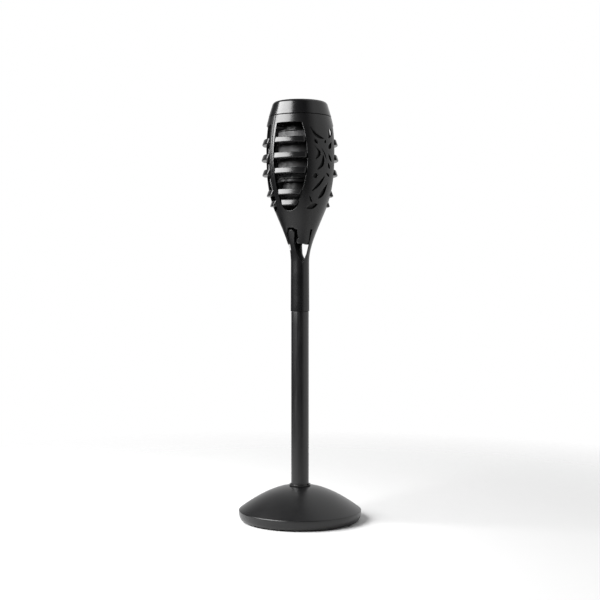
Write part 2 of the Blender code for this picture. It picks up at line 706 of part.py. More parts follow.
# ---------------------------------------------------------------- lamp
def build_cap(plastic, rubber, steel, glass, cell_film):
    cover_radius = PANEL_RADIUS + COVER_BORDER
    cover_top = CAP_TOP - GAP
    cover_bottom = cover_top - COVER_THICKNESS
    panel_top = cover_bottom - GAP
    panel_bottom = panel_top - PANEL_THICKNESS
    ledge_top = panel_bottom - GAP
    ledge_bottom = ledge_top - LEDGE_THICKNESS
    ledge_inner = PANEL_RADIUS - LEDGE_DEPTH
    inner_top = CAP_SHOULDER - CAP_WALL
    cap = turned("top_cap", [
        (cover_radius + GAP, CAP_TOP), (CAP_SHOULDER - CAP_ROUND, CAP_TOP),
        (CAP_SHOULDER - 0.3 * CAP_ROUND, CAP_TOP - 0.3 * CAP_ROUND),
        (CAP_SHOULDER, CAP_TOP - CAP_ROUND), (RIM_RADIUS, CAP_BOTTOM),
        (RIM_RADIUS - CAP_WALL, CAP_BOTTOM), (inner_top, ledge_bottom),
        (ledge_inner, ledge_bottom), (ledge_inner, ledge_top), (cover_radius + GAP, ledge_top),
    ], plastic)
    disc("panel_cover", cover_radius, cover_bottom, cover_top, glass)
    disc("solar_panel", PANEL_RADIUS, panel_bottom, panel_top, cell_film, FINE_STEPS)

    plug_bottom = RIM_Z - PLUG_DEPTH
    plug_top = RIM_Z - SEAL_SEAT
    plug_radius = RIM_RADIUS - SHELL_WALL - SLIDE_GAP
    step_radius = plug_radius - SEAL_WIDTH
    tray_top = CAP_BOTTOM + TRAY_RISE
    floor_top = plug_bottom + TRAY_WALL
    carrier_hole = CARRIER_RADIUS + SLIDE_GAP
    tray = turned("cap_tray", [
        (step_radius - TRAY_WALL, tray_top), (step_radius, tray_top), (step_radius, plug_top),
        (plug_radius, plug_top), (plug_radius, plug_bottom), (carrier_hole, plug_bottom),
        (carrier_hole, floor_top), (step_radius - TRAY_WALL, floor_top),
    ], plastic, FINE_STEPS)
    ring("cap_seal", step_radius + GAP, plug_radius, plug_top + GAP, RIM_Z + 0.0004, rubber,
         FINE_STEPS)

    boss_ring = ledge_inner + BOSS_RADIUS
    boss_places = around(CAP_SCREW_COUNT, boss_ring, CAP_SCREW_TURN)
    boss_bottom = floor_top + GAP
    boss_top = ledge_bottom + 0.5 * LEDGE_THICKNESS
    bosses = turned_mesh([
        (0.0, boss_top), (BOSS_RADIUS, boss_top), (BOSS_RADIUS, boss_bottom), (0.0, boss_bottom),
    ], 12, closed=False)
    boolean(cap, [copies(bosses, boss_places)], "UNION")
    grip_top = boss_bottom + CAP_SCREW_GRIP
    bores = cylinder_mesh(CAP_SCREW_RADIUS + GAP, boss_bottom - TRAY_WALL, grip_top + 3 * GAP,
                          SMALL_STEPS)
    boolean(cap, [copies(bores, boss_places)])
    hole = cylinder_mesh(CAP_SCREW_RADIUS + GAP, plug_bottom - TRAY_WALL, floor_top + TRAY_WALL,
                         SMALL_STEPS)
    boolean(tray, [copies(hole, boss_places)])
    screw = screw_mesh(CAP_SCREW_RADIUS, grip_top, plug_bottom - GAP)
    add_copies("cap_screw", screw, boss_places, steel)
    return panel_bottom


def build_lamp(plastic, smoke, white, steel, board, sleeve, copper, panel_bottom):
    ring("diffuser", DIFFUSER_RADIUS - DIFFUSER_WALL, DIFFUSER_RADIUS, DIFFUSER_BOTTOM,
         DIFFUSER_TOP, smoke)
    hole = CARRIER_RADIUS + SLIDE_GAP
    crown_bottom = DIFFUSER_TOP + GAP
    crown_step = crown_bottom + CROWN_STEP
    crown_top = RIM_Z - PLUG_DEPTH - GAP
    turned("diffuser_crown", [
        (CROWN_RADIUS - CUP_WALL, crown_top), (CROWN_RADIUS, crown_top),
        (CROWN_RADIUS, crown_step), (DIFFUSER_RADIUS, crown_step),
        (DIFFUSER_RADIUS, crown_bottom), (hole, crown_bottom), (hole, crown_step),
        (CROWN_RADIUS - CUP_WALL, crown_step),
    ], plastic, FINE_STEPS)

    neck_inner = CUP_NECK_RADIUS - CUP_WALL
    turned("lamp_flange", [
        (hole, CUP_TOP), (FLANGE_RADIUS, CUP_TOP), (FLANGE_RADIUS, FLANGE_BOTTOM),
        (CUP_NECK_RADIUS, FLANGE_BOTTOM), (CUP_NECK_RADIUS, CUP_NECK_BOTTOM),
        (neck_inner, CUP_NECK_BOTTOM), (neck_inner, CUP_TOP - CUP_WALL),
        (hole, CUP_TOP - CUP_WALL),
    ], plastic, FINE_STEPS)

    cup_top = CUP_NECK_BOTTOM - GAP
    shoulder = CUP_BOTTOM + 0.6 * CUP_RADIUS
    button_hole = BUTTON_RADIUS + SLIDE_GAP
    bowl = []
    for i in range(5):
        angle = math.radians(90.0 * i / 4)
        bowl.append((math.cos(angle), math.sin(angle)))
    flat = 0.5 * CUP_RADIUS
    drop = shoulder - CUP_BOTTOM
    outer = [(flat + (CUP_RADIUS - flat) * x, shoulder - drop * y) for x, y in bowl]
    inner = [(flat + (CUP_RADIUS - CUP_WALL - flat) * x, shoulder - (drop - CUP_WALL) * y)
             for x, y in bowl]
    floor = CUP_BOTTOM + CUP_WALL
    turned("lamp_cup", [(CUP_RADIUS, cup_top)] + outer + [(button_hole, CUP_BOTTOM),
                                                         (button_hole, floor)]
           + inner[::-1] + [(CUP_RADIUS - CUP_WALL, cup_top)], plastic, FINE_STEPS)

    circuit_top = cup_top - CIRCUIT_DROP
    circuit_bottom = circuit_top - CIRCUIT_THICKNESS
    disc("circuit_board", CIRCUIT_RADIUS, circuit_bottom, circuit_top, board, FINE_STEPS)
    carrier_bottom = circuit_top + GAP
    carrier_top = RIM_Z - PLUG_DEPTH + TRAY_WALL
    bore = CARRIER_RADIUS - CARRIER_WALL
    ring("led_carrier", bore, CARRIER_RADIUS, carrier_bottom, carrier_top, white, FINE_STEPS)

    board_inner = CARRIER_RADIUS + GAP
    board_outer = board_inner + BOARD_THICKNESS
    board_bottom = DIFFUSER_BOTTOM + STRIP_MARGIN
    board_top = DIFFUSER_TOP - STRIP_MARGIN
    strip = ring("led_board", board_inner, board_outer, board_bottom, board_top, board,
                 FINE_STEPS)
    die = box_mesh((LED_SIZE, LED_HEIGHT, LED_SIZE), (0.0, GAP - LED_HEIGHT / 2, 0.0))
    pitch = (board_top - board_bottom) / LED_ROWS
    places = []
    for row in range(LED_ROWS):
        z = board_bottom + pitch * (row + 0.5)
        turn = 180.0 / LEDS_PER_ROW * (row % 2)
        places += around(LEDS_PER_ROW, board_outer, turn, z)
    boolean(strip, [copies(die, places)], "UNION")

    middle = (DIFFUSER_BOTTOM + DIFFUSER_TOP) / 2
    cell_bottom = middle - CELL_LENGTH / 2
    cell_top = middle + CELL_LENGTH / 2
    nub = 0.4 * CELL_RADIUS
    turned("battery_cell", [
        (0.0, cell_top), (nub, cell_top), (nub, cell_top - CELL_NUB),
        (CELL_RADIUS, cell_top - CELL_NUB), (CELL_RADIUS, cell_bottom), (0.0, cell_bottom),
    ], sleeve, FINE_STEPS, closed=False)
    contact_bottom = cell_top + GAP
    spring_bottom = cell_bottom - GAP - SPRING_HEIGHT
    seat_top = spring_bottom - GAP
    lead_ring = (CELL_RADIUS + bore) / 2
    lead_places = around(2, lead_ring, 90.0)
    lead_hole = cylinder_mesh(LEAD_RADIUS + GAP, seat_top - 2 * SEAT_THICKNESS,
                              contact_bottom + 2 * CONTACT_THICKNESS, SMALL_STEPS)
    lead_holes = copies(lead_hole, lead_places)
    seat = disc("cell_seat", bore - GAP, seat_top - SEAT_THICKNESS, seat_top, white, FINE_STEPS)
    boolean(seat, [lead_holes])
    contact = disc("cell_contact", bore - GAP, contact_bottom,
                   contact_bottom + CONTACT_THICKNESS, steel, FINE_STEPS)
    boolean(contact, [lead_holes])
    build_spring("cell_spring", 0.6 * CELL_RADIUS, spring_bottom, steel)

    lead = cylinder_mesh(LEAD_RADIUS, circuit_top + GAP, panel_bottom - GAP, SMALL_STEPS)
    add_copies("panel_lead", lead, lead_places, copper)

    switch_top = circuit_bottom - GAP
    switch_bottom = switch_top - SWITCH_HEIGHT
    tact = box_mesh((SWITCH_SIZE, SWITCH_SIZE, SWITCH_HEIGHT),
                    (0.0, 0.0, (switch_top + switch_bottom) / 2))
    add_part("tact_switch", tact, plastic)
    button_top = switch_bottom - BUTTON_TRAVEL - GAP
    rim_bottom = floor + GAP
    rim_top = rim_bottom + BUTTON_RIM_HEIGHT
    rim_radius = BUTTON_RADIUS + BUTTON_RIM
    turned("power_button", [
        (0.0, button_top), (0.5 * BUTTON_RADIUS, button_top), (0.5 * BUTTON_RADIUS, rim_top),
        (rim_radius, rim_top), (rim_radius, rim_bottom), (BUTTON_RADIUS, rim_bottom),
        (BUTTON_RADIUS, CUP_BOTTOM - BUTTON_TRAVEL), (0.0, CUP_BOTTOM - BUTTON_TRAVEL),
    ], plastic, FINE_STEPS, closed=False)


def build_spring(name, radius, bottom, material):
    """Coil spring of round wire."""
    points_per_turn = 10
    curve = bpy.data.curves.new(name, "CURVE")
    curve.dimensions = "3D"
    curve.bevel_depth = SPRING_WIRE
    curve.bevel_resolution = 2
    curve.use_fill_caps = True
    spline = curve.splines.new("POLY")
    count = SPRING_TURNS * points_per_turn
    spline.points.add(count)
    for i in range(count + 1):
        angle = 2 * math.pi * i / points_per_turn
        z = bottom + SPRING_WIRE + (SPRING_HEIGHT - 2 * SPRING_WIRE) * i / count
        spline.points[i].co = (radius * math.cos(angle), radius * math.sin(angle), z, 1.0)
    source = bpy.data.objects.new(name, curve)
    PARTS.objects.link(source)
    add_part(name, evaluated_mesh(source), material)


def build_torch():
    plastic = make_material("black_plastic", (0.018, 0.018, 0.020), 0.45)
    gloss = make_material("black_base_plastic", (0.012, 0.012, 0.013), 0.30)
    paint = make_material("black_paint", (0.014, 0.014, 0.015), 0.35)
    rubber = make_material("rubber", (0.020, 0.020, 0.020), 0.80)
    steel = make_material("steel", (0.55, 0.55, 0.56), 0.35, 1.0)
    iron = make_material("cast_iron", (0.06, 0.06, 0.065), 0.70, 0.6)
    glass = make_material("clear_cover", (0.85, 0.88, 0.90), 0.08)
    film = make_material("solar_film", (0.010, 0.015, 0.045), 0.25)
    smoke = make_material("smoked_plastic", (0.06, 0.06, 0.065), 0.30)
    white = make_material("white_plastic", (0.75, 0.75, 0.73), 0.50)
    board = make_material("circuit_board", (0.02, 0.10, 0.05), 0.45)
    wrap = make_material("battery_wrap", (0.05, 0.18, 0.45), 0.40)
    lead = make_material("lead_insulation", (0.45, 0.03, 0.02), 0.50)
    build_base(gloss, rubber, steel, iron)
    build_pole(paint, plastic)
    build_cage(plastic, smoke)
    build_louvres(plastic)
    panel_bottom = build_cap(plastic, rubber, steel, glass, film)
    build_lamp(plastic, smoke, white, steel, board, wrap, lead, panel_bottom)


clear_scene()
PARTS = new_collection("tiki_torch")
CUTTERS = new_collection("cutters")
build_torch()
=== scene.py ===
"""Looks of a solar tiki torch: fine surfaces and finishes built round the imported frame.

Run as a script in Blender. Each button of the panel makes one piece or one group of pieces.
Lengths are metres and +Z is up. Azimuths are degrees: 0 faces -Y, and they grow towards +X.
"""

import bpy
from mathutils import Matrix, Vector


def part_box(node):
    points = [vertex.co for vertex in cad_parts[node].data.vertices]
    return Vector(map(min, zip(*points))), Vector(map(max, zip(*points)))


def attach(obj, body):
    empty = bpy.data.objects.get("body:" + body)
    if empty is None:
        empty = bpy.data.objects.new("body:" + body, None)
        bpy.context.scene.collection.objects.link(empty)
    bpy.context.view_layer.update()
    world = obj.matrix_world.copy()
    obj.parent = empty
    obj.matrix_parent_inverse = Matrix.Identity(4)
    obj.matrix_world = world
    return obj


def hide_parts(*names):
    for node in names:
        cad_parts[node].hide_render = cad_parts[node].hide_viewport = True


bl_info = {
    "name": "Solar Tiki Torch",
    "version": (1, 0, 0),
    "blender": (4, 5, 0),
    "location": "View3D > Sidebar > Torch",
    "description": "Builds a solar tiki torch piece by piece round its frame",
    "category": "Add Mesh",
}

import math

import bpy
import numpy as np
from mathutils import Vector

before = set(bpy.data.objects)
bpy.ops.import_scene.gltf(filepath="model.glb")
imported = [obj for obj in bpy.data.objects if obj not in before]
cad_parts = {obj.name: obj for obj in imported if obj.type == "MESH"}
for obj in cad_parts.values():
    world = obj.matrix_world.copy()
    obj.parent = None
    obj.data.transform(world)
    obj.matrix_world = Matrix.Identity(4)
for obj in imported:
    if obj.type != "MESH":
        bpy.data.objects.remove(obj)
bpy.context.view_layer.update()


# ---------------------------------------------------------------- sizes from the frame
def extent(node):
    """Radius about Z, lowest and highest point of a node."""
    low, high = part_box(node)
    return max(high.x, -low.x), low.z, high.z


BASE_RADIUS, BASE_Z, BASE_TOP = extent("base_cover")
COLLAR_RADIUS, COLLAR_Z, COLLAR_TOP = extent("socket_collar")
PLATE_RADIUS, PLATE_Z, PLATE_TOP = extent("base_plate")
POLE_RADIUS, POLE_Z, POLE_TOP = extent("pole_tube")
SPIGOT_Z, SPIGOT_TOP = extent("pole_spigot")[1:]
SLEEVE_Z, RIM_Z = extent("torch_cage")[1:]
RIM_RADIUS, CAP_TOP = extent("top_cap")[0], extent("top_cap")[2]
COVER_RADIUS = extent("panel_cover")[0]
PANEL_RADIUS, PANEL_Z = extent("solar_panel")[:2]
TRAY_RADIUS, TRAY_Z, TRAY_TOP = extent("cap_tray")
SEAL_RADIUS, SEAL_Z, SEAL_TOP = extent("cap_seal")
SHADE_RADIUS, SHADE_Z, SHADE_TOP = extent("diffuser")
CROWN_Z, CROWN_TOP = extent("diffuser_crown")[1:]
FLANGE_RADIUS, FLANGE_Z, FLANGE_TOP = extent("lamp_flange")
CUP_RADIUS, CUP_Z, CUP_TOP = extent("lamp_cup")
CARRIER_RADIUS = extent("led_carrier")[0]
BUTTON_Z, BUTTON_TOP = extent("power_button")[1:]
STRIP_Z, STRIP_TOP = extent("led_board")[1:]
# Heights of the dark sheets behind the vine panels, which are painted shade.
SHADE_SHEET_Z, SHADE_SHEET_TOP = extent("vine_liner_1")[1:]

# ---------------------------------------------------------------- sizes of the design
GAP = 0.0003              # between two pieces that touch
FIT = 0.0004              # round a piece that slides or plugs into another
CAP_SEAM = 0.0008
CAP_BOTTOM = RIM_Z + CAP_SEAM
CAP_SHOULDER = 0.0396
BASE_CREASE = 0.0152
BASE_TUCK = 0.0030
BASE_WALL = 0.0024
DOME_POWER = 1.6
SOCKET_BORE = POLE_RADIUS + FIT
NOTCH_AZIMUTH = 50.0
NOTCH_SIZE = (0.0042, 0.0084, 0.0024)
TUBE_WALL = 0.0015
TUBE_EDGE = 0.0005
SLEEVE_RADIUS = 0.0135
SLEEVE_BORE = 0.0118
NECK_Z = 0.3710
NECK_RADIUS = 0.0132
BELLY_Z = 0.5207
BELLY_RADIUS = 0.0526
SHELL_WALL = 0.0024
NECK_EASE = 1.21
VINE_AZIMUTHS = (40.0, 220.0)
WINDOW_OFFSET = 57.0
RIB_OFFSET = 90.0
SPLIT_AZIMUTH = 16.0
SPLIT_COUNT = 3
TAB_AZIMUTH = -33.0
FIN_HEIGHTS = (0.0210, -0.0011, -0.0224, -0.0518, -0.0665)
FIN_INNER = FLANGE_RADIUS + 0.0010
FIN_REACH = 0.0028
FIN_THICKNESS = 0.0083
FIN_SWING = 31.4          # furthest end of a fin from the middle of its window, in degrees
ROOT_REACH = 31.7         # the same for the hidden root of a fin
ROOT_DROP = 0.00015       # a root's face under the face of the rails
RAIL_THICKNESS = 0.0018
RAIL_WIDTH = 3.7
RAIL_REACH = 32.2
LEAF_GROWTH = 1.25        # width of the cut-out leaves against the drawn ones
LEAF_UNDERCUT = 0.0012    # how far a leaf's cutter reaches past the inner wall
CREASE_WIDTH = 0.00045
CREASE_FADE = 0.012
# Dark sheet behind each vine panel: painted shade inside the cage, seen through the leaves.
SHADE_SHEET_GAP = 0.0007
SHADE_SHEET_THICKNESS = 0.0008
SHADE_SHEET_REACH = 24.2
CUTTER_REACH = 0.010      # how far a cutter starts outside the belly
CUTTER_CORE = 0.015       # distance from the axis of the point where a window's cutter ends
SHARP_ANGLE = 38.0
FOOT_TURN = -29.0
FOOT_RING = 0.0760
FOOT_RADIUS = 0.0070
PANEL_LEDGE = 0.0050      # width of the ledge under the solar panel
BOSS_RADIUS = 0.0030
BOSS_BORE = 0.0014
BOSS_DEPTH = 0.0105
SCREW_TURN = 30.0
SHADE_WALL = 0.0016
LAMP_WALL = 0.0020
CROWN_RADIUS = 0.0225
FLANGE_DEPTH = 0.0044
CUP_NECK_RADIUS = 0.0240
BUTTON_RADIUS = 0.0048
BUTTON_LIP = 0.0016
BUTTON_FLANGE = 0.0012
LED_ROWS = 5
LEDS_PER_ROW = 6
LED_CASE = (0.0030, 0.0011, 0.0030)
LED_FACE = (0.0022, 0.0005, 0.0022)
STRIP_THICKNESS = 0.0008
CARRIER_WALL = 0.0014
FLOOR_REACH = 1.6
LIGHT_PLACE = (-1.09, -0.42, 1.08)
LIGHT_TARGET = (0.0, 0.0, 0.42)
LIGHT_SIZE = (1.4, 1.0)
WHITE = 1.0               # strength of the surroundings seen by the camera

# Window with the vine on its right, from its upper right corner round the bottom to its upper
# left corner: distance across from its centre line, and height above the belly.
WINDOW_OUTLINE = (
    (0.0165, 0.0453), (0.0223, 0.0218), (0.0251, -0.0067), (0.0218, -0.0327),
    (0.0135, -0.0570), (0.0066, -0.0721), (-0.0035, -0.0777), (-0.0128, -0.0743),
    (-0.0189, -0.0597), (-0.0232, -0.0327), (-0.0247, -0.0007), (-0.0232, 0.0253),
    (-0.0205, 0.0453),
)

# Vine leaves: both tips, width, sideways bow of the middle, and place of the widest point.
# Heights are above the belly.
VINE_LEAVES = (
    ((-0.0187, 0.0370), (0.0012, 0.0228), 0.0036, -0.0044, 0.60),
    ((0.0188, 0.0382), (0.0105, 0.0238), 0.0070, 0.0000, 0.38),
    ((0.0016, 0.0160), (0.0042, 0.0212), 0.0026, 0.0000, 0.50),
    ((-0.0145, 0.0216), (-0.0104, 0.0146), 0.0028, -0.0008, 0.50),
    ((0.0172, 0.0200), (0.0090, 0.0088), 0.0050, 0.0006, 0.62),
    ((-0.0152, 0.0110), (-0.0136, -0.0070), 0.0042, 0.0062, 0.66),
    ((-0.0047, 0.0090), (0.0046, -0.0072), 0.0012, 0.0012, 0.50),
    ((0.0084, 0.0022), (0.0163, -0.0090), 0.0036, 0.0000, 0.50),
    ((-0.0016, 0.0000), (-0.0110, -0.0218), 0.0042, 0.0040, 0.50),
    ((0.0080, -0.0102), (0.0122, -0.0194), 0.0032, 0.0000, 0.55),
    ((-0.0164, -0.0310), (-0.0086, -0.0284), 0.0052, 0.0000, 0.50),
    ((0.0050, -0.0246), (0.0130, -0.0296), 0.0026, 0.0000, 0.60),
    ((0.0036, -0.0290), (-0.0152, -0.0512), 0.0032, 0.0010, 0.50),
    ((0.0118, -0.0368), (-0.0018, -0.0612), 0.0060, 0.0010, 0.66),
    ((-0.0160, -0.0566), (-0.0094, -0.0666), 0.0018, -0.0010, 0.50),
    ((-0.0162, -0.0748), (-0.0004, -0.0684), 0.0058, 0.0000, 0.50),
)

# Split in the neck, a V with a tongue of the cone hanging into it, and the arched slot round
# the snap tab. Across, and height above the neck.
SPLIT_OUTLINE = (
    (0.0000, -0.0010), (0.0068, 0.0125), (0.0092, 0.0240), (0.0124, 0.0465),
    (0.0086, 0.0465), (0.0080, 0.0290), (0.0060, 0.0263), (0.0000, 0.0256),
    (-0.0068, 0.0263), (-0.0092, 0.0290), (-0.0104, 0.0465), (-0.0140, 0.0465),
    (-0.0126, 0.0270), (-0.0077, 0.0110),
)
TAB_OUTLINE = (
    (-0.0098, 0.0170), (-0.0098, 0.0425), (-0.0060, 0.0490), (0.0046, 0.0490),
    (0.0088, 0.0450), (0.0088, 0.0330), (0.0060, 0.0330), (0.0052, 0.0425),
    (0.0026, 0.0455), (-0.0030, 0.0455), (-0.0058, 0.0420), (-0.0072, 0.0170),
)


# ---------------------------------------------------------------- curves and outlines
def rounded(points, radius, arcs=5, closed=True):
    """Corners replaced by arcs: a quadratic curve from before each corner to after it.

    The reach along each side is the radius, held to under half of the shorter side.
    """
    points = np.asarray(points, dtype=float)
    back = np.roll(points, 1, axis=0) - points
    ahead = np.roll(points, -1, axis=0) - points
    back_length = np.linalg.norm(back, axis=1)
    ahead_length = np.linalg.norm(ahead, axis=1)
    reach = np.minimum(np.broadcast_to(radius, len(points)),
                       0.48 * np.minimum(back_length, ahead_length))
    if not closed:
        reach = np.concatenate(([0.0], reach[1:-1], [0.0]))
    start = points + back * (reach / back_length)[:, None]
    end = points + ahead * (reach / ahead_length)[:, None]
    t = np.linspace(0.0, 1.0, arcs + 1)[None, :, None]
    arc = start[:, None] * (1 - t) ** 2 + points[:, None] * 2 * t * (1 - t) + end[:, None] * t ** 2
    return distinct(arc.reshape(-1, points.shape[1]), closed)


def distinct(points, closed):
    """Points without those that repeat the one before them."""
    step = np.linalg.norm(points - np.roll(points, 1, axis=0), axis=1)
    keep = step > 1e-7
    if not closed:
        keep[0] = True
    return points[keep]


def spline(points, spans):
    """Catmull-Rom curve through the points, with so many spans between each two."""
    points = np.asarray(points, dtype=float)
    padded = np.vstack([points[:1], points, points[-1:]])
    before, start, end, after = padded[:-3], padded[1:-2], padded[2:-1], padded[3:]
    t = (np.arange(spans) / spans)[None, :, None]
    curve = 0.5 * (2 * start[:, None] + (end - before)[:, None] * t
                   + (2 * before - 5 * start + 4 * end - after)[:, None] * t ** 2
                   + (3 * start - before - 3 * end + after)[:, None] * t ** 3)
    return np.vstack([curve.reshape(-1, 2), points[-1:]])


def outline_normals(outline):
    """Unit vectors that point out of a closed outline that runs anticlockwise."""
    along = np.roll(outline, -1, axis=0) - np.roll(outline, 1, axis=0)
    along /= np.linalg.norm(along, axis=1)[:, None]
    return np.stack([along[:, 1], -along[:, 0]], axis=1)


def anticlockwise(outline):
    """Outline turned round if it runs clockwise."""
    x, y = outline[:, 0], outline[:, 1]
    area = np.sum(x * np.roll(y, -1) - np.roll(x, -1) * y)
    return outline if area > 0 else outline[::-1]


def window_outline(side, corner=0.0020):
    """Window seen from outside; side is 1 with the vine on its right, -1 mirrored."""
    line = spline(WINDOW_OUTLINE, 7)
    top = np.array([[0.010, WINDOW_OUTLINE[0][1]], [-0.014, WINDOW_OUTLINE[0][1]]])
    reach = np.zeros(len(line) + 2)
    reach[0] = reach[len(line) - 1] = corner
    outline = rounded(np.vstack([line, top[::-1]]), reach)
    return anticlockwise(outline * [side, 1.0] + [0.0, BELLY_Z])


def leaf_outline(tip, stem, width, bow, widest, spans=14):
    """Leaf between two tips: its middle line bows as a sine, and so does its half width."""
    tip = np.array(tip)
    stem = np.array(stem)
    along = (stem - tip) / np.linalg.norm(stem - tip)
    across = np.array([-along[1], along[0]])
    t = np.linspace(0.0, 1.0, spans + 1)[1:-1]
    power = math.log(0.5) / math.log(widest)
    middle = tip + t[:, None] * (stem - tip) + across * (bow * np.sin(np.pi * t))[:, None]
    half = across * (LEAF_GROWTH * 0.5 * width * np.sin(np.pi * t ** power) ** 0.85)[:, None]
    outline = np.vstack([tip[None], middle + half, stem[None], (middle - half)[::-1]])
    return anticlockwise(outline + [0.0, BELLY_Z])


# ---------------------------------------------------------------- surfaces
def shell_radius(z):
    """Outer radius of the cage.

    Above the belly it falls with the square of the height. Below, a smooth step leads to the
    neck, and from there the sleeve widens evenly to its lower end.
    """
    z = np.asarray(z, dtype=float)
    crown = np.clip((z - BELLY_Z) / (RIM_Z - BELLY_Z), 0.0, 1.0)
    upper = BELLY_RADIUS - (BELLY_RADIUS - RIM_RADIUS) * crown ** 2
    share = np.clip((BELLY_Z - z) / (BELLY_Z - NECK_Z), 0.0, 1.0) ** NECK_EASE
    lower = BELLY_RADIUS - (BELLY_RADIUS - NECK_RADIUS) * (3 - 2 * share) * share ** 2
    down = np.clip((NECK_Z - z) / (NECK_Z - SLEEVE_Z), 0.0, 1.0)
    sleeve = NECK_RADIUS + (SLEEVE_RADIUS - NECK_RADIUS) * down
    return np.where(z >= BELLY_Z, upper, np.where(z >= NECK_Z, lower, sleeve))


def shell_bore(z):
    """Inner radius of the cage."""
    return np.maximum(SLEEVE_BORE, shell_radius(z) - SHELL_WALL)


def compass(azimuth):
    """Across and outward unit vectors at an azimuth."""
    angle = math.radians(azimuth)
    out = np.array([math.sin(angle), -math.cos(angle), 0.0])
    across = np.array([math.cos(angle), math.sin(angle), 0.0])
    return across, out


def around(radius, angles, height):
    """Points (r sin a, -r cos a, z) for a radius, an angle in radians and a height."""
    return np.stack([radius * np.sin(angles), -radius * np.cos(angles), height], axis=-1)


def profile_of(radius, height):
    """Points of a profile from radii and heights."""
    return np.stack(np.broadcast_arrays(radius, height), axis=1)


def grid_faces(rows, columns, wrap_rows, wrap_columns):
    """Quads of a grid of points numbered row by row."""
    i = np.arange(rows if wrap_rows else rows - 1)[:, None]
    j = np.arange(columns if wrap_columns else columns - 1)[None, :]
    below = (i + 1) % rows
    right = (j + 1) % columns
    quads = np.stack([i * columns + j, below * columns + j,
                      below * columns + right, i * columns + right], axis=-1)
    return quads.reshape(-1, 4).tolist()


def turned(profile, sides=128, closed=True, angles=None, relief=None):
    """Profile of (radius, height) turned about Z, running down its outer side.

    An open profile starts and ends on the axis, where the rings close to a pole. Relief, a
    function of angle, radius and height, is taken off the radius.
    """
    profile = np.asarray(profile, dtype=float)
    if angles is None:
        angles = 2 * np.pi * np.arange(sides) / sides
    rings = profile if closed else profile[1:-1]
    radius = np.repeat(rings[:, :1], len(angles), axis=1)
    height = np.repeat(rings[:, 1:], len(angles), axis=1)
    if relief is not None:
        radius = radius - relief(angles[None, :], radius, height)
    flat = around(radius, angles, height).reshape(-1, 3)
    if closed:
        return flat, grid_faces(len(rings), len(angles), True, True)
    poles = np.array([[0.0, 0.0, profile[0, 1]], [0.0, 0.0, profile[-1, 1]]])
    return closed_rows(flat, poles, len(rings), len(angles))


def lathe(points, reach, sides=128, closed=True, arcs=5):
    """Profile with rounded corners turned about Z."""
    return turned(rounded(points, reach, arcs, closed), sides, closed)


def pipe(outer, inner, top, bottom, rows, sides):
    """Pipe about Z with rounded ends: a profile that runs down outside and up inside."""
    heights = np.linspace(top, bottom, rows)
    wall = np.concatenate([np.full(rows, outer), np.full(rows, inner)])
    reach = np.zeros(2 * rows)
    reach[[0, rows - 1, rows, -1]] = TUBE_EDGE
    return lathe(profile_of(wall, np.concatenate([heights, heights[::-1]])), reach, sides)


def groove(outer, inner, z, depth, slope):
    """Corners of a groove with sloping sides in a flat underside, from outside to inside."""
    return [[outer, z], [outer - slope, z + depth], [inner + slope, z + depth], [inner, z]]


def cutter(outline, azimuth, edge, near=None):
    """Solid that cuts an outline through the shell and rounds the edge on its outside.

    Layers of the outline follow the shell's face. Their offset and depth run along a quarter
    circle of the edge's radius. A flat end closes the solid outside. Inside it ends flat at the
    near distance, or just under the wall in a fan that meets at a point deep inside.
    """
    across, out = compass(azimuth)
    normals = outline_normals(outline)
    turn = np.linspace(0.35, 0.5 * np.pi, 4)
    offsets = np.concatenate([[edge, edge], edge * (1 - np.sin(turn)), [0.0]])
    depths = np.concatenate([[0.0, -0.2 * edge], edge * (1 - np.cos(turn)), [SHELL_WALL * 1.5]])
    flat = outline[None] + normals[None] * offsets[:, None, None]
    face = np.sqrt(np.maximum(shell_radius(flat[..., 1]) ** 2 - flat[..., 0] ** 2, 1e-8))
    reach = face - depths[:, None]
    reach[0] = BELLY_RADIUS + CUTTER_REACH
    if near is not None:
        reach[-1] = near
    points = (flat[..., :1] * across + reach[..., None] * out
              + flat[..., 1:] * np.array([0.0, 0.0, 1.0]))
    layers, count = reach.shape
    verts = points.reshape(-1, 3)
    faces = grid_faces(layers, count, False, True)
    faces.append(list(range(count)))
    last = (layers - 1) * count
    if near is not None:
        faces.append([last + j for j in range(count)][::-1])
        return verts, faces
    deep = out * CUTTER_CORE + np.array([0.0, 0.0, outline[:, 1].mean()])
    j = np.arange(count)
    fan = np.stack([np.full(count, len(verts)), last + (j + 1) % count, last + j], axis=1)
    return np.vstack([verts, deep[None]]), faces + fan.tolist()


def capped(grid):
    """Closed section carried along a path, one column for each place, with a face at each end."""
    rows, columns = grid.shape[:2]
    faces = grid_faces(rows, columns, True, False)
    faces.append([i * columns for i in range(rows)][::-1])
    faces.append([i * columns + columns - 1 for i in range(rows)])
    return grid.reshape(-1, 3), faces


def sector(section, start, end, columns):
    """Section of (radius, height) swept about Z between two azimuths in degrees."""
    section = np.asarray(section, dtype=float)
    angles = np.radians(np.linspace(start, end, columns))
    height = np.repeat(section[:, 1:], columns, axis=1)
    return capped(around(section[:, :1], angles, height))


def brick(centre, size, turn, rows=10, columns=16, power=0.28):
    """Box with rounded edges: a superellipsoid, from signed powers of the sines and cosines of
    two angles, turned to face an azimuth. Its rows run from top to bottom.
    """
    lift = np.linspace(0.5 * np.pi, -0.5 * np.pi, rows + 1)[1:-1]
    round_angle = 2 * np.pi * (np.arange(columns) + 0.5) / columns

    def signed(value):
        return np.sign(value) * np.abs(value) ** power

    wide = signed(np.cos(lift))[:, None]
    x = 0.5 * size[0] * wide * signed(np.sin(round_angle))
    y = -0.5 * size[1] * wide * signed(np.cos(round_angle))
    z = np.broadcast_to(0.5 * size[2] * signed(np.sin(lift))[:, None], x.shape)
    points = np.stack([x, y, z], axis=-1).reshape(-1, 3)
    ends = np.array([[0.0, 0.0, 0.5 * size[2]], [0.0, 0.0, -0.5 * size[2]]])
    return placed(closed_rows(points, ends, rows - 1, columns), turn, centre)


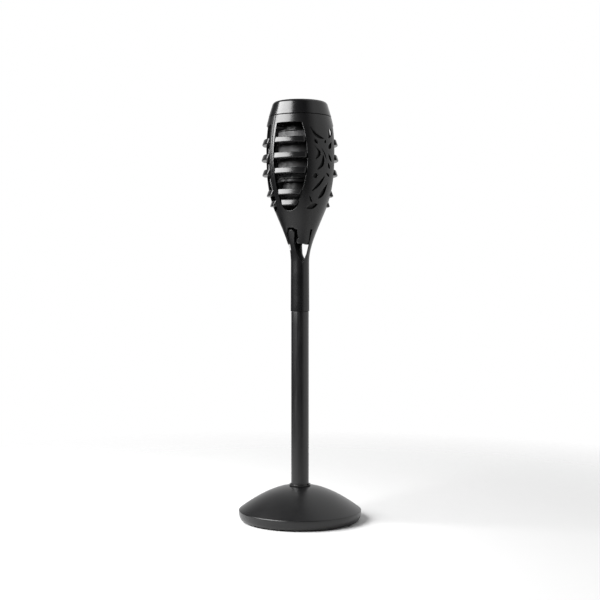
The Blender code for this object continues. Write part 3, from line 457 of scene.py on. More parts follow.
def closed_rows(points, ends, rows, columns):
    """Grid of rings closed by a fan to a pole at its first and at its last row."""
    faces = grid_faces(rows, columns, False, True)
    count = len(points)
    last = (rows - 1) * columns
    j = np.arange(columns)
    after = (j + 1) % columns
    top = np.stack([np.full(columns, count), j, after], axis=1)
    bottom = np.stack([np.full(columns, count + 1), last + after, last + j], axis=1)
    return np.vstack([points, ends]), faces + top.tolist() + bottom.tolist()


def placed(solid, turn, centre):
    """Solid turned about Z by an azimuth and moved."""
    points, faces = solid
    across, out = compass(turn)
    moved = points[:, :1] * across - points[:, 1:2] * out + points[:, 2:] * [0.0, 0.0, 1.0]
    return moved + np.asarray(centre), faces


def ring_places(count, radius, turn, z=0.0):
    """Azimuths evenly round a circle, each with its place."""
    azimuths = [turn + 360.0 * i / count for i in range(count)]
    return [(azimuth, compass(azimuth)[1] * radius + [0.0, 0.0, z]) for azimuth in azimuths]


def combine(solids):
    """Several lists of points and faces as one."""
    verts = []
    faces = []
    count = 0
    for points, polygons in solids:
        verts.append(points)
        faces += [[index + count for index in polygon] for polygon in polygons]
        count += len(points)
    return np.vstack(verts), faces


# ---------------------------------------------------------------- pieces
def raw_object(name, solid):
    """Mesh object in the scene from points and faces."""
    verts, faces = solid
    mesh = bpy.data.meshes.new(name)
    mesh.from_pydata(np.asarray(verts).tolist(), [], faces)
    mesh.validate()
    made = bpy.data.objects.new(name, mesh)
    bpy.context.scene.collection.objects.link(made)
    return made


def carve(piece, solid, operation="DIFFERENCE"):
    """Cut or join a solid into a piece, for good."""
    tool = raw_object("tool", solid)
    modifier = piece.modifiers.new("carve", "BOOLEAN")
    modifier.operation = operation
    modifier.solver = "EXACT"
    modifier.object = tool
    bpy.context.view_layer.update()
    evaluated = piece.evaluated_get(bpy.context.evaluated_depsgraph_get())
    result = bpy.data.meshes.new_from_object(evaluated)
    piece.modifiers.clear()
    piece.data = result
    bpy.data.objects.remove(tool, do_unlink=True)


def settle(piece, body, look, *nodes):
    """Smooth a piece, give it its finish, and fix it to its body."""
    mesh = piece.data
    mesh.materials.clear()
    mesh.materials.append(finish(look))
    mesh.shade_smooth()
    mesh.set_sharp_from_angle(angle=math.radians(SHARP_ANGLE))
    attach(piece, body)
    if nodes:
        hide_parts(*nodes)


def make(name, solid, body, look, *nodes):
    """Piece from points and faces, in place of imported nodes."""
    settle(raw_object(name, solid), body, look, *nodes)


def dress(look, *nodes):
    """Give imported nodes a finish."""
    for name in nodes:
        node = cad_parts[name]
        if not node.material_slots:
            node.data.materials.append(finish(look))
        for slot in node.material_slots:
            slot.material = finish(look)


# ---------------------------------------------------------------- finishes
def fill(tree, node, values):
    """Give a node's inputs, by name or number, a value or a link from a socket."""
    for key, value in values.items():
        if isinstance(value, bpy.types.NodeSocket):
            tree.links.new(value, node.inputs[key])
        else:
            node.inputs[key].default_value = value


def add_node(tree, kind, values=None, **settings):
    """Shader node with the given settings and inputs."""
    made = tree.nodes.new(kind)
    for key, value in settings.items():
        setattr(made, key, value)
    fill(tree, made, values or {})
    return made


def blank_finish(name, colour, roughness, metallic=0.0):
    """Material of one colour, with its tree, its shader and the object's coordinates."""
    material = bpy.data.materials.new(name + "_finish")
    material.use_nodes = True
    material.diffuse_color = (*colour, 1.0)
    tree = material.node_tree
    shader = tree.nodes["Principled BSDF"]
    fill(tree, shader, {"Base Color": (*colour, 1.0), "Roughness": roughness,
                        "Metallic": metallic})
    return material, tree, shader, add_node(tree, "ShaderNodeTexCoord").outputs["Object"]


def noise(tree, place, scale, detail=3.0):
    """Cloudy value between 0 and 1."""
    return add_node(tree, "ShaderNodeTexNoise", {
        "Vector": place, "Scale": scale, "Detail": detail, "Roughness": 0.55}).outputs["Fac"]


def spread(tree, value, low, high, from_low=0.3, from_high=0.7):
    """Value mapped from one range to another."""
    return add_node(tree, "ShaderNodeMapRange", {
        "Value": value, "From Min": from_low, "From Max": from_high,
        "To Min": low, "To Max": high}).outputs["Result"]


def maths(tree, operation, *values):
    """Result of a Math node on numbers or sockets."""
    return add_node(tree, "ShaderNodeMath", dict(enumerate(values)),
                    operation=operation).outputs[0]


def separate(tree, place):
    """X, Y and Z of a place."""
    return add_node(tree, "ShaderNodeSeparateXYZ", {"Vector": place}).outputs


def mixed(tree, share, first, second):
    """Colour between two, the first of them a colour or a socket."""
    start = first if isinstance(first, bpy.types.NodeSocket) else (*first, 1.0)
    return add_node(tree, "ShaderNodeMix", {0: share, 6: start, 7: (*second, 1.0)},
                    data_type="RGBA").outputs[2]


def embossed(tree, height, distance, strength=1.0):
    """Fine relief of the surface."""
    return add_node(tree, "ShaderNodeBump", {
        "Height": height, "Distance": distance, "Strength": strength}).outputs["Normal"]


def moulded(name, colour, roughness, grain, depth, edge_highlight, variation=0.04):
    """Moulded plastic: fine grain, slow changes of gloss, dust in the colour and a painted edge
    highlight.
    """
    material, tree, shader, place = blank_finish(name, colour, roughness)
    broad = noise(tree, place, 38.0, 4.0)
    fine = noise(tree, place, grain, 2.0)
    dusty = tuple(min(1.0, channel * 1.5 + 0.004) for channel in colour)
    # Paler copy of the colour, laid on sharp edges by their pointiness: a painted highlight.
    pale = tuple(min(1.0, channel * 3.0 + 0.02) for channel in colour)
    tint = mixed(tree, spread(tree, fine, 0.0, 1.0, 0.35, 0.75), colour, dusty)
    edges = add_node(tree, "ShaderNodeNewGeometry").outputs["Pointiness"]
    fill(tree, shader, {
        "Base Color": mixed(tree, spread(tree, edges, 0.0, edge_highlight, 0.54, 0.66), tint, pale),
        "Roughness": spread(tree, broad, roughness - variation, roughness + variation),
        "Normal": embossed(tree, fine, depth)})
    return material


def smoked_finish():
    """Smoked plastic with a fine grid of dots pressed into it, in rings round the shade."""
    colour = (0.10, 0.10, 0.105)
    material, tree, shader, place = blank_finish("smoked_shade", colour, 0.34)
    parts = separate(tree, place)
    turn = maths(tree, "ARCTAN2", parts["Y"], parts["X"])
    waves = [maths(tree, "COSINE", maths(tree, "MULTIPLY", source, scale))
             for source, scale in ((turn, 96.0), (parts["Z"], 3100.0))]
    share = spread(tree, maths(tree, "MULTIPLY", *waves), 0.0, 1.0, -0.2, 0.8)
    fill(tree, shader, {
        "Transmission Weight": 0.12,
        "Base Color": mixed(tree, share, colour, (0.085, 0.083, 0.080)),
        "Roughness": spread(tree, noise(tree, place, 60.0), 0.26, 0.44),
        "Normal": embossed(tree, share, 0.00012)})
    return material


def painted_tube_finish(colour, roughness):
    """Satin paint on tube: low orange peel, faint rubbing along its length."""
    material, tree, shader, place = blank_finish("pole_paint", colour, roughness)
    stretch = add_node(tree, "ShaderNodeMapping", {"Vector": place, "Scale": (1.0, 1.0, 0.06)})
    streaks = noise(tree, stretch.outputs["Vector"], 420.0)
    rubbed = tuple(channel * 1.6 for channel in colour)
    fill(tree, shader, {
        "Coat Weight": 0.25, "Coat Roughness": 0.22,
        "Roughness": spread(tree, streaks, roughness - 0.05, roughness + 0.07),
        "Base Color": mixed(tree, streaks, colour, rubbed),
        "Normal": embossed(tree, noise(tree, place, 700.0, 2.0), 0.00004, 0.6)})
    return material


def metal_finish(name, colour, roughness, scale=900.0):
    """Plated or cast metal with fine scratches in its gloss."""
    material, tree, shader, place = blank_finish(name, colour, roughness, 1.0)
    scratches = noise(tree, place, scale, 4.0)
    dull = tuple(channel * 0.6 for channel in colour)
    fill(tree, shader, {
        "Roughness": spread(tree, scratches, roughness * 0.7, roughness * 1.4),
        "Base Color": mixed(tree, noise(tree, place, 60.0), dull, colour),
        "Normal": embossed(tree, scratches, 0.00005, 0.5)})
    return material


def solar_finish():
    """Dark blue cell: thin silver fingers across, wider bars along, cloudy crystal tone."""
    material, tree, shader, place = blank_finish("solar_film", (0.010, 0.016, 0.050), 0.22)
    parts = separate(tree, place)
    lines = []
    for axis, pitch, width in (("Y", 0.0020, 0.10), ("X", 0.0140, 0.07)):
        part = maths(tree, "FRACT", maths(tree, "DIVIDE", parts[axis], pitch))
        lines.append(maths(tree, "LESS_THAN", part, width))
    crystal = mixed(tree, noise(tree, place, 160.0, 5.0), (0.006, 0.010, 0.036),
                    (0.016, 0.028, 0.085))
    fill(tree, shader, {"Base Color": mixed(tree, maths(tree, "MAXIMUM", *lines), crystal,
                                            (0.42, 0.44, 0.47))})
    return material


def clear_finish():
    """Clear cover: glossy, nearly colourless, with faint wipe marks in its gloss."""
    material, tree, shader, place = blank_finish("clear_cover", (0.93, 0.95, 0.96), 0.06)
    fill(tree, shader, {
        "Transmission Weight": 1.0, "IOR": 1.49,
        "Roughness": spread(tree, noise(tree, place, 90.0, 5.0), 0.03, 0.12)})
    return material


def moulded_looks(look):
    """Colour, roughness, grain, depth, painted edge highlight and variation of each moulded
    finish.
    """
    return {
        "cage_plastic": (look.plastic, look.plastic_gloss, 2600.0, 0.000012, 0.25),
        "cap_plastic": (look.plastic, look.plastic_gloss - 0.06, 2200.0, 0.000004, 0.25, 0.03),
        "base_plastic": (look.base, look.base_gloss, 1500.0, 0.000008, 0.3, 0.03),
        "inner_plastic": (look.plastic, 0.50, 2400.0, 0.00004, 0.3),
        "lamp_plastic": (look.plastic, 0.40, 2400.0, 0.00003, 0.3),
        # Near-black sheet behind the vine panels: painted shade seen through the cut-out leaves.
        "painted_shade_plastic": ((0.002, 0.002, 0.002), 0.60, 2400.0, 0.00003, 0.3),
        "white_plastic": ((0.72, 0.72, 0.69), 0.42, 1800.0, 0.00003, 0.1),
        "soft_rubber": ((0.022, 0.022, 0.022), 0.72, 1400.0, 0.00008, 0.4),
        "board_green": (look.board, 0.34, 900.0, 0.00003, 0.2),
        "battery_wrap": (look.battery, 0.30, 500.0, 0.00002, 0.3),
        "lead_wrap": ((0.42, 0.03, 0.02), 0.42, 1500.0, 0.00003, 0.2),
        "chip_face": ((0.78, 0.70, 0.34), 0.28, 2500.0, 0.00002, 0.1),
    }


OTHER_LOOKS = {
    "screw_steel": lambda look: metal_finish("screw_steel", (0.56, 0.56, 0.57), 0.30),
    "ballast_iron": lambda look: metal_finish("ballast_iron", (0.09, 0.09, 0.095), 0.62, 500.0),
    "pole_paint": lambda look: painted_tube_finish(look.pole, look.pole_gloss),
    "smoked_shade": lambda look: smoked_finish(),
    "solar_film": lambda look: solar_finish(),
    "clear_cover": lambda look: clear_finish(),
}
MADE = {}


def finish(name):
    """Material of a finish, made the first time that it is asked for."""
    if name not in MADE:
        look = bpy.context.scene.torch_finish
        plastics = moulded_looks(look)
        if name in plastics:
            MADE[name] = moulded(name, *plastics[name])
        else:
            MADE[name] = OTHER_LOOKS[name](look)
    return MADE[name]


# ---------------------------------------------------------------- sizes and looks to change
def length_setting(name, text, value, low, high):
    """Length in metres that can be changed between two limits."""
    return bpy.props.FloatProperty(name=name, description=text, default=value, min=low, max=high,
                                   unit="LENGTH")


def colour_setting(name, text, value):
    """Colour that can be changed."""
    return bpy.props.FloatVectorProperty(name=name, description="Colour of " + text,
                                         default=value, min=0.0, max=1.0, subtype="COLOR")


def gloss_setting(name, text, value):
    """Roughness that can be changed."""
    return bpy.props.FloatProperty(name=name, description="Roughness of " + text, default=value,
                                   min=0.1, max=1.0, subtype="FACTOR")


class TorchSizes(bpy.types.PropertyGroup):
    """Small sizes that the frame leaves open."""

    window_edge: length_setting(
        "Window edge", "Radius of the rounded edge round each window", 0.00055, 0.0001, 0.001)
    leaf_edge: length_setting(
        "Leaf edge", "Radius of the rounded edge round each cut-out leaf", 0.00028, 0.0001,
        0.0006)
    fin_gap: length_setting(
        "Fin gap", "Open joint between the end of a fin and its window", 0.0009, 0.0003, 0.002)
    fin_round: length_setting(
        "Fin round", "Radius of the rounded end of a fin", 0.0014, 0.0003, 0.003)
    crease: length_setting(
        "Rib crease", "Depth of the crease along the middle of each rib", 0.0006, 0.0, 0.001)


class TorchFinish(bpy.types.PropertyGroup):
    """Colours and gloss of the finishes."""

    plastic: colour_setting("Head", "the cage, cap and lamp plastic", (0.0032, 0.0032, 0.0035))
    plastic_gloss: gloss_setting("Head roughness", "the cage plastic", 0.26)
    base: colour_setting("Base", "the base cover", (0.0034, 0.0034, 0.0037))
    base_gloss: gloss_setting("Base roughness", "the base cover", 0.30)
    pole: colour_setting("Pole", "the pole's paint", (0.0034, 0.0034, 0.0037))
    pole_gloss: gloss_setting("Pole roughness", "the pole's paint", 0.34)
    board: colour_setting("Boards", "the circuit boards", (0.015, 0.095, 0.040))
    battery: colour_setting("Battery", "the battery's wrap", (0.030, 0.130, 0.380))


class StudioSettings(bpy.types.PropertyGroup):
    """Camera and light."""

    distance: bpy.props.FloatProperty(
        name="Distance", description="From the camera to the torch's axis", unit="LENGTH",
        default=1.594, min=0.5)
    height: bpy.props.FloatProperty(
        name="Height", description="Height of the camera above the floor", unit="LENGTH",
        default=0.331, min=0.0)
    lens: bpy.props.FloatProperty(
        name="Lens", description="Focal length of the camera in millimetres",
        default=66.4, min=20.0)
    tilt: bpy.props.FloatProperty(
        name="Tilt", description="How far the camera looks down", subtype="ANGLE",
        default=math.radians(0.5175))
    key: bpy.props.FloatProperty(
        name="Key light", description="Power of the large soft light on the left", unit="POWER",
        default=66.0, min=0.0)


# ---------------------------------------------------------------- base and pole
def dome_height(radius):
    """Height of the dome: it falls from the top with a power of the share of the radius."""
    inner = COLLAR_RADIUS
    share = np.clip((radius - inner) / (BASE_RADIUS - inner), 0.0, 1.0)
    return BASE_CREASE + (BASE_TOP - BASE_CREASE) * (1.0 - share ** DOME_POWER)


class TORCH_OT_base(bpy.types.Operator):
    """Dome cover, key collar, plate, feet and screws of the base"""

    bl_idname = "torch.base"
    bl_label = "Base"

    def execute(self, context):
        across_dome = np.linspace(COLLAR_RADIUS + FIT, BASE_RADIUS, 46)
        dome = profile_of(across_dome, dome_height(across_dome))
        side = BASE_CREASE - BASE_Z
        skirt = np.array([
            [BASE_RADIUS, BASE_Z + 0.70 * side],
            [BASE_RADIUS - 0.10 * BASE_TUCK, BASE_Z + 0.50 * side],
            [BASE_RADIUS - 0.30 * BASE_TUCK, BASE_Z + 0.30 * side],
            [BASE_RADIUS - BASE_TUCK, BASE_Z]])
        rim = BASE_RADIUS - BASE_TUCK - BASE_WALL
        under = across_dome[across_dome < rim - BASE_WALL][::-1]
        inside = profile_of(under, dome_height(under) - BASE_WALL)
        start = [[SOCKET_BORE, BASE_TOP], [COLLAR_RADIUS, BASE_TOP]]
        lip = [[rim, BASE_Z], [rim, BASE_CREASE - BASE_WALL]]
        end = [[SOCKET_BORE, BASE_TOP - BASE_WALL]]
        profile = np.vstack([start, dome, skirt, lip, inside, end])
        reach = np.zeros(len(profile))
        reach[[0, -1]] = 0.0004
        crease = len(start) + len(dome) - 1
        reach[crease] = 0.0008
        reach[crease + 1:crease + 6] = [0.002, 0.001, 0.001, 0.0007, 0.0005]
        make("dome_cover", lathe(profile, reach, 176), "base", "base_plastic", "base_cover")

        collar = [[COLLAR_RADIUS, COLLAR_TOP], [COLLAR_RADIUS, COLLAR_Z],
                  [SOCKET_BORE, COLLAR_Z], [SOCKET_BORE, COLLAR_TOP]]
        ring = raw_object("key_collar", lathe(collar, [0.0008, 0.0002, 0.0002, 0.0004]))
        middle = compass(NOTCH_AZIMUTH)[1] * COLLAR_RADIUS + [0.0, 0.0, COLLAR_TOP]
        carve(ring, brick(middle, NOTCH_SIZE, NOTCH_AZIMUTH))
        settle(ring, "base", "base_plastic", "socket_collar")

        plate = [[0.0, PLATE_TOP], [PLATE_RADIUS, PLATE_TOP], [PLATE_RADIUS, PLATE_Z],
                 *groove(0.0680, 0.0632, PLATE_Z, 0.0007, 0.0008),
                 *groove(0.0300, 0.0272, PLATE_Z, 0.0006, 0.0008), [0.0, PLATE_Z]]
        make("under_plate", lathe(plate, 0.0004, 144, False), "base", "inner_plastic",
             "base_plate")

        foot_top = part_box("rubber_foot_1")[1].z
        foot = [[0.0, foot_top], [FOOT_RADIUS, foot_top], [FOOT_RADIUS, 0.0],
                *groove(0.0048, 0.0027, 0.0, 0.0004, 0.0003), [0.0, 0.0]]
        foot = lathe(foot, 0.0004, 40, False)
        feet = [placed(foot, *spot) for spot in ring_places(4, FOOT_RING, FOOT_TURN)]
        make("rubber_feet", combine(feet), "base", "soft_rubber",
             *["rubber_foot_%d" % number for number in range(1, 5)])
        set_screws("plate_screws", "base_screw_", 0.0012, PLATE_Z - GAP, "base")
        dress("inner_plastic", "pole_socket")
        dress("ballast_iron", "ballast_weight")
        return {"FINISHED"}


def set_screws(name, node, shank, seat, body):
    """Pan-head screws with a cross recess, their heads down, one for each numbered node."""
    low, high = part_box(node + "1")
    centre = (low + high) / 2
    head = 2.0 * shank
    profile = [[0.0, high.z], [shank * 0.6, high.z], [shank, high.z - shank], [shank, seat],
               [head, seat], [head, low.z], [0.0, low.z]]
    reach = [0.0, 0.0003, 0.0003, 0.0001, 0.0003, 0.0008, 0.0]
    screw = raw_object("screw", lathe(profile, reach, 32, False))
    for turn in (0.0, 90.0):
        recess = (2.1 * shank, 0.0005, 0.0010)
        carve(screw, brick((0.0, 0.0, low.z), recess, turn, 8, 12, 0.2))
    mesh = screw.data
    points = np.empty(len(mesh.vertices) * 3)
    mesh.vertices.foreach_get("co", points)
    faces = [list(face.vertices) for face in mesh.polygons]
    bpy.data.objects.remove(screw, do_unlink=True)
    ring = math.hypot(centre.x, centre.y)
    azimuth = math.degrees(math.atan2(centre.x, -centre.y))
    solids = [placed((points.reshape(-1, 3), faces), *spot)
              for spot in ring_places(3, ring, azimuth)]
    make(name, combine(solids), body, "screw_steel",
         *[node + str(number) for number in range(1, 4)])


class TORCH_OT_pole(bpy.types.Operator):
    """Painted tube with its plug, and the spigot that the head pushes onto"""

    bl_idname = "torch.pole"
    bl_label = "Pole"

    def execute(self, context):
        bore = POLE_RADIUS - TUBE_WALL
        make("painted_tube", pipe(POLE_RADIUS, bore, POLE_TOP, POLE_Z, 16, 112), "pole",
             "pole_paint", "pole_tube")

        upper = SLEEVE_BORE - FIT
        lower = bore - GAP
        inside = min(lower, upper) - 0.0020
        waist = upper - 0.0005
        seat = POLE_TOP + GAP
        spigot = [
            [inside, SPIGOT_TOP], [upper - 0.0008, SPIGOT_TOP], [upper, SPIGOT_TOP - 0.0016],
            [upper, SPIGOT_TOP - 0.0100], [waist, SPIGOT_TOP - 0.0106],
            [waist, SPIGOT_TOP - 0.0134], [upper, SPIGOT_TOP - 0.0140],
            [upper, seat], [lower, seat], [lower, SPIGOT_Z], [inside, SPIGOT_Z]]
        make("joint_spigot", lathe(spigot, 0.0004, 96), "pole", "inner_plastic", "pole_spigot")
        dress("inner_plastic", "pole_plug")
        return {"FINISHED"}


# ---------------------------------------------------------------- head
def rib_azimuths():
    """Middle of each solid rib, a quarter turn before each vine."""
    return [azimuth - RIB_OFFSET for azimuth in VINE_AZIMUTHS]


def shell_angles():
    """Columns of the shell in radians: even, with close ones along each rib's crease."""
    even = np.arange(160) * (360.0 / 160)
    near = np.array([-1.15, -0.7, -0.45, -0.22, 0.0, 0.22, 0.45, 0.7, 1.15])
    close = np.concatenate([azimuth + near for azimuth in rib_azimuths()]) % 360.0
    distance = np.abs((even[:, None] - close[None] + 180.0) % 360.0 - 180.0).min(axis=1)
    return np.radians(np.sort(np.concatenate([even[distance > 0.5], close])))


def crease_relief(depth):
    """Crease down each rib: a bell curve across the rib, faded out at its lower end."""
    lowest = BELLY_Z + WINDOW_OUTLINE[6][1]

    def relief(angles, radius, height):
        outside = radius > shell_radius(height) - 0.0010
        down = np.clip((height - lowest) / CREASE_FADE, 0.0, 1.0)
        total = np.zeros(radius.shape)
        for azimuth in rib_azimuths():
            turn = (angles - math.radians(azimuth) + np.pi) % (2 * np.pi) - np.pi
            total = total + np.exp(-(turn * radius / CREASE_WIDTH) ** 2)
        return depth * total * down * down * (3 - 2 * down) * outside

    return relief


class TORCH_OT_cage(bpy.types.Operator):
    """Tulip-shaped cage: sleeve, split neck, windows and vine panels"""

    bl_idname = "torch.cage"
    bl_label = "Cage"

    def execute(self, context):
        sizes = context.scene.torch_sizes
        rows = np.concatenate([np.linspace(SLEEVE_Z, NECK_Z, 8)[:-1],
                               np.linspace(NECK_Z, BELLY_Z, 44)[:-1],
                               np.linspace(BELLY_Z, RIM_Z, 20)])
        profile = np.vstack([profile_of(shell_radius(rows), rows)[::-1],
                             profile_of(shell_bore(rows), rows)])
        reach = np.zeros(len(profile))
        reach[[0, len(rows) - 1, len(rows), -1]] = [0.0006, 0.0005, 0.0004, 0.0004]
        shell = turned(rounded(profile, reach), angles=shell_angles(),
                       relief=crease_relief(sizes.crease))
        cage = raw_object("tulip_cage", shell)
        for turn in range(SPLIT_COUNT):
            carve(cage, neck_cutter(SPLIT_OUTLINE, SPLIT_AZIMUTH + 360.0 * turn / SPLIT_COUNT))
        carve(cage, neck_cutter(TAB_OUTLINE, TAB_AZIMUTH))
        windows = []
        leaves = []
        for vine in VINE_AZIMUTHS:
            for side in (1, -1):
                windows.append(cutter(window_outline(side), vine - side * WINDOW_OFFSET,
                                      sizes.window_edge))
            for leaf in VINE_LEAVES:
                outline = leaf_outline(*leaf)
                leaves.append(cutter(outline, vine, sizes.leaf_edge, leaf_floor(outline)))
        carve(cage, combine(windows))
        carve(cage, combine(leaves))
        settle(cage, "head", "cage_plastic", "torch_cage")
        # Dark sheets behind the vine panels: painted shade seen through the cut-out leaves.
        for number, vine in enumerate(VINE_AZIMUTHS, start=1):
            make("vine_sheet_%d" % number, vine_sheet(vine), "head", "painted_shade_plastic",
                 "vine_liner_%d" % number)
        return {"FINISHED"}


def vine_sheet(azimuth):
    """Thin dark sheet that follows the cage's inner wall at an even distance, behind one of
    the vine panels: painted shade, seen through the cut-out leaves."""
    heights = np.linspace(SHADE_SHEET_TOP, SHADE_SHEET_Z, 28)
    face = profile_of(shell_bore(heights) - SHADE_SHEET_GAP, heights)
    section = np.vstack([face, face[::-1] - [SHADE_SHEET_THICKNESS, 0.0]])
    return sector(section, azimuth - SHADE_SHEET_REACH, azimuth + SHADE_SHEET_REACH, 28)


def leaf_floor(outline):
    """Distance from the axis at which a leaf's cutter ends, inside the whole of its wall."""
    inside = shell_bore(outline[:, 1]) - LEAF_UNDERCUT
    return np.sqrt(np.maximum(inside ** 2 - outline[:, 0] ** 2, 1e-8)).min()


def neck_cutter(outline, azimuth):
    """Cutter for an outline given by heights above the neck."""
    line = rounded(np.array(outline) + [0.0, NECK_Z], 0.0009, 3)
    return cutter(anticlockwise(line), azimuth, 0.0003, 0.0020)


def window_sides(side):
    """Left and right edge of a window as functions of height."""
    line = window_outline(side)
    lowest = np.argmin(line[:, 1])
    ordered = np.roll(line, -lowest, axis=0)
    highest = np.argmax(ordered[:, 1])
    rise = ordered[:highest + 1]
    fall = np.vstack([ordered[highest:], ordered[:1]])[::-1]
    right, left = (rise, fall) if rise[:, 0].mean() > fall[:, 0].mean() else (fall, rise)
    return (lambda z: np.interp(z, left[:, 1], left[:, 0]),
            lambda z: np.interp(z, right[:, 1], right[:, 0]))


def fin_nose(z, centre, side, gap, ease):
    """Face of a fin between the sides of its window.

    A section with rounded edges is swept about Z. Towards each end it shrinks about its middle
    along a quarter circle, so that the end is round, and stays a gap away from the window.
    """
    top = z + FIN_THICKNESS / 2
    bottom = z - FIN_THICKNESS / 2
    nose = float(shell_radius(z)) + FIN_REACH
    corners = [[FIN_INNER, top], [nose - 0.0024, top], [nose, bottom + 0.0010],
               [nose - 0.0010, bottom], [FIN_INNER, bottom]]
    section = rounded(corners, [0.0003, 0.0007, 0.0009, 0.0006, 0.0003], 5)
    left, right = window_sides(side)
    turn = np.linspace(0.0, 0.5 * np.pi, 6)
    share = np.concatenate([np.zeros(6), np.linspace(0.0, 1.0, 22)[1:-1], np.ones(6)])
    back = ease * np.concatenate([1 - np.cos(turn), np.ones(20), 1 - np.cos(turn[::-1])])
    drawn = ease * np.concatenate([1 - np.sin(turn), np.zeros(20), 1 - np.sin(turn[::-1])])
    middle = 0.5 * (section.max(axis=0) + section.min(axis=0))
    half = 0.5 * (section.max(axis=0) - section.min(axis=0))
    kept = 1.0 - drawn[None, :, None] / half
    points = middle + (section - middle)[:, None, :] * kept
    radius = points[..., 0]
    height = points[..., 1]
    limit = math.radians(FIN_SWING)
    low = np.arcsin(np.clip((left(height) + gap) / radius, -1.0, 1.0)).clip(-limit, limit)
    high = np.arcsin(np.clip((right(height) - gap) / radius, -1.0, 1.0)).clip(-limit, limit)
    angles = (low + back / nose) * (1 - share) + (high - back / nose) * share
    angles = angles + math.radians(centre)
    return capped(around(radius, angles, height))


class TORCH_OT_louvres(bpy.types.Operator):
    """Four louvre inserts, each with five fins between two rails"""

    bl_idname = "torch.louvres"
    bl_label = "Louvres"

    def execute(self, context):
        sizes = context.scene.torch_sizes
        levels = [BELLY_Z + height for height in FIN_HEIGHTS]
        half = FIN_THICKNESS / 2 - 0.0008
        slack = GAP + FIT
        rows = np.linspace(levels[0] + FIN_THICKNESS, levels[-1] - FIN_THICKNESS / 4, 24)
        back = shell_bore(rows) - slack
        rail = np.vstack([profile_of(back, rows),
                          profile_of(back - RAIL_THICKNESS, rows)[::-1]])
        inner = FIN_INNER + 0.0003
        centres = [(vine - side * WINDOW_OFFSET, side) for vine in VINE_AZIMUTHS
                   for side in (1, -1)]
        for number, (centre, side) in enumerate(centres, start=1):
            noses = [fin_nose(z, centre, side, sizes.fin_gap, sizes.fin_round) for z in levels]
            roots = []
            for z in levels:
                outer = shell_bore([z - half, z + half]).min() - slack - ROOT_DROP
                root = [[outer, z + half], [outer, z - half], [inner, z - half],
                        [inner, z + half]]
                roots.append(sector(root, centre - ROOT_REACH, centre + ROOT_REACH, 24))
            rails = [sector(rail, centre + start, centre + start + RAIL_WIDTH, 4)
                     for start in (-RAIL_REACH, RAIL_REACH - RAIL_WIDTH)]
            insert = raw_object("louvre_insert_%d" % number, combine(noses))
            carve(insert, combine(roots), "UNION")
            carve(insert, combine(rails), "UNION")
            settle(insert, "head", "cage_plastic", "louvre_%d" % number)
        return {"FINISHED"}


# ---------------------------------------------------------------- lamp
class TORCH_OT_cap(bpy.types.Operator):
    """Tapered cap with the solar panel, its clear cover, the tray, the seal and screws"""

    bl_idname = "torch.cap"
    bl_label = "Cap"

    def execute(self, context):
        recess = COVER_RADIUS + GAP
        ledge = PANEL_Z - GAP
        opening = PANEL_RADIUS - PANEL_LEDGE
        taper = np.linspace(0.0, 1.0, 14)[:, None]
        shoulder = np.array([[CAP_SHOULDER, CAP_TOP - 0.0028]])
        foot = np.array([[RIM_RADIUS, CAP_BOTTOM]])
        cone = shoulder + (foot - shoulder) * taper
        profile = np.vstack([
            [[recess, CAP_TOP - 0.0002], [recess + 0.0010, CAP_TOP],
             [CAP_SHOULDER - 0.0022, CAP_TOP]],
            cone,
            [[RIM_RADIUS - SHELL_WALL, CAP_BOTTOM], [CAP_SHOULDER - SHELL_WALL, ledge - 0.0016],
             [opening, ledge - 0.0016], [opening, ledge], [recess, ledge]]])
        reach = np.zeros(len(profile))
        reach[:4] = [0.0004, 0.0005, 0.0022, 0.0022]
        reach[2 + len(cone):4 + len(cone)] = 0.0004
        cap = raw_object("tapered_cap", lathe(profile, reach, 160, arcs=7))
        root = ledge - 0.0010
        foot = TRAY_Z + LAMP_WALL + GAP
        boss = turned([[0.0, root], [BOSS_RADIUS, root], [BOSS_RADIUS, foot], [BOSS_BORE, foot],
                       [BOSS_BORE, foot + BOSS_DEPTH], [0.0, foot + BOSS_DEPTH]], 32, False)
        bosses = [placed(boss, *spot)
                  for spot in ring_places(3, opening + BOSS_RADIUS, SCREW_TURN)]
        carve(cap, combine(bosses), "UNION")
        settle(cap, "lamp", "cap_plastic", "top_cap")

        make("clear_disc", disc("panel_cover", 0.0005, 0.0003), "lamp", "clear_cover",
             "panel_cover")
        make("solar_wafer", disc("solar_panel", 0.0002, 0.0002), "lamp", "solar_film",
             "solar_panel")
        self.tray_and_seal()
        set_screws("cap_screws", "cap_screw_", 0.0011, TRAY_Z - GAP, "lamp")
        return {"FINISHED"}

    def tray_and_seal(self):
        """Tray that plugs the cage's rim, and the seal round it."""
        step = TRAY_RADIUS - 0.0028
        inner = step - LAMP_WALL
        plug_top = RIM_Z - 0.0030
        floor = TRAY_Z + LAMP_WALL
        hole = CARRIER_RADIUS + FIT
        tray = [[inner, TRAY_TOP], [step, TRAY_TOP], [step, plug_top], [TRAY_RADIUS, plug_top],
                [TRAY_RADIUS, TRAY_Z], *groove(0.0290, 0.0244, TRAY_Z, 0.0006, 0.0006),
                [hole, TRAY_Z], [hole, floor], [inner, floor]]
        make("under_tray", lathe(tray, 0.0005), "lamp", "inner_plastic", "cap_tray")
        inner = step + GAP
        waist = 0.5 * (SEAL_TOP + SEAL_Z)
        seal = [[inner, SEAL_TOP], [SEAL_RADIUS, SEAL_TOP], [SEAL_RADIUS, waist + 0.0006],
                [SEAL_RADIUS - 0.0005, waist], [SEAL_RADIUS, waist - 0.0006],
                [SEAL_RADIUS, SEAL_Z], [inner, SEAL_Z]]
        make("seal_ring", lathe(seal, 0.0004), "lamp", "soft_rubber", "cap_seal")


def disc(node, upper, lower):
    """Disc the size of a node, with its two edges rounded."""
    radius, bottom, top = extent(node)
    return lathe([[0.0, top], [radius, top], [radius, bottom], [0.0, bottom]],
                 [0.0, upper, lower, 0.0], 112, False)


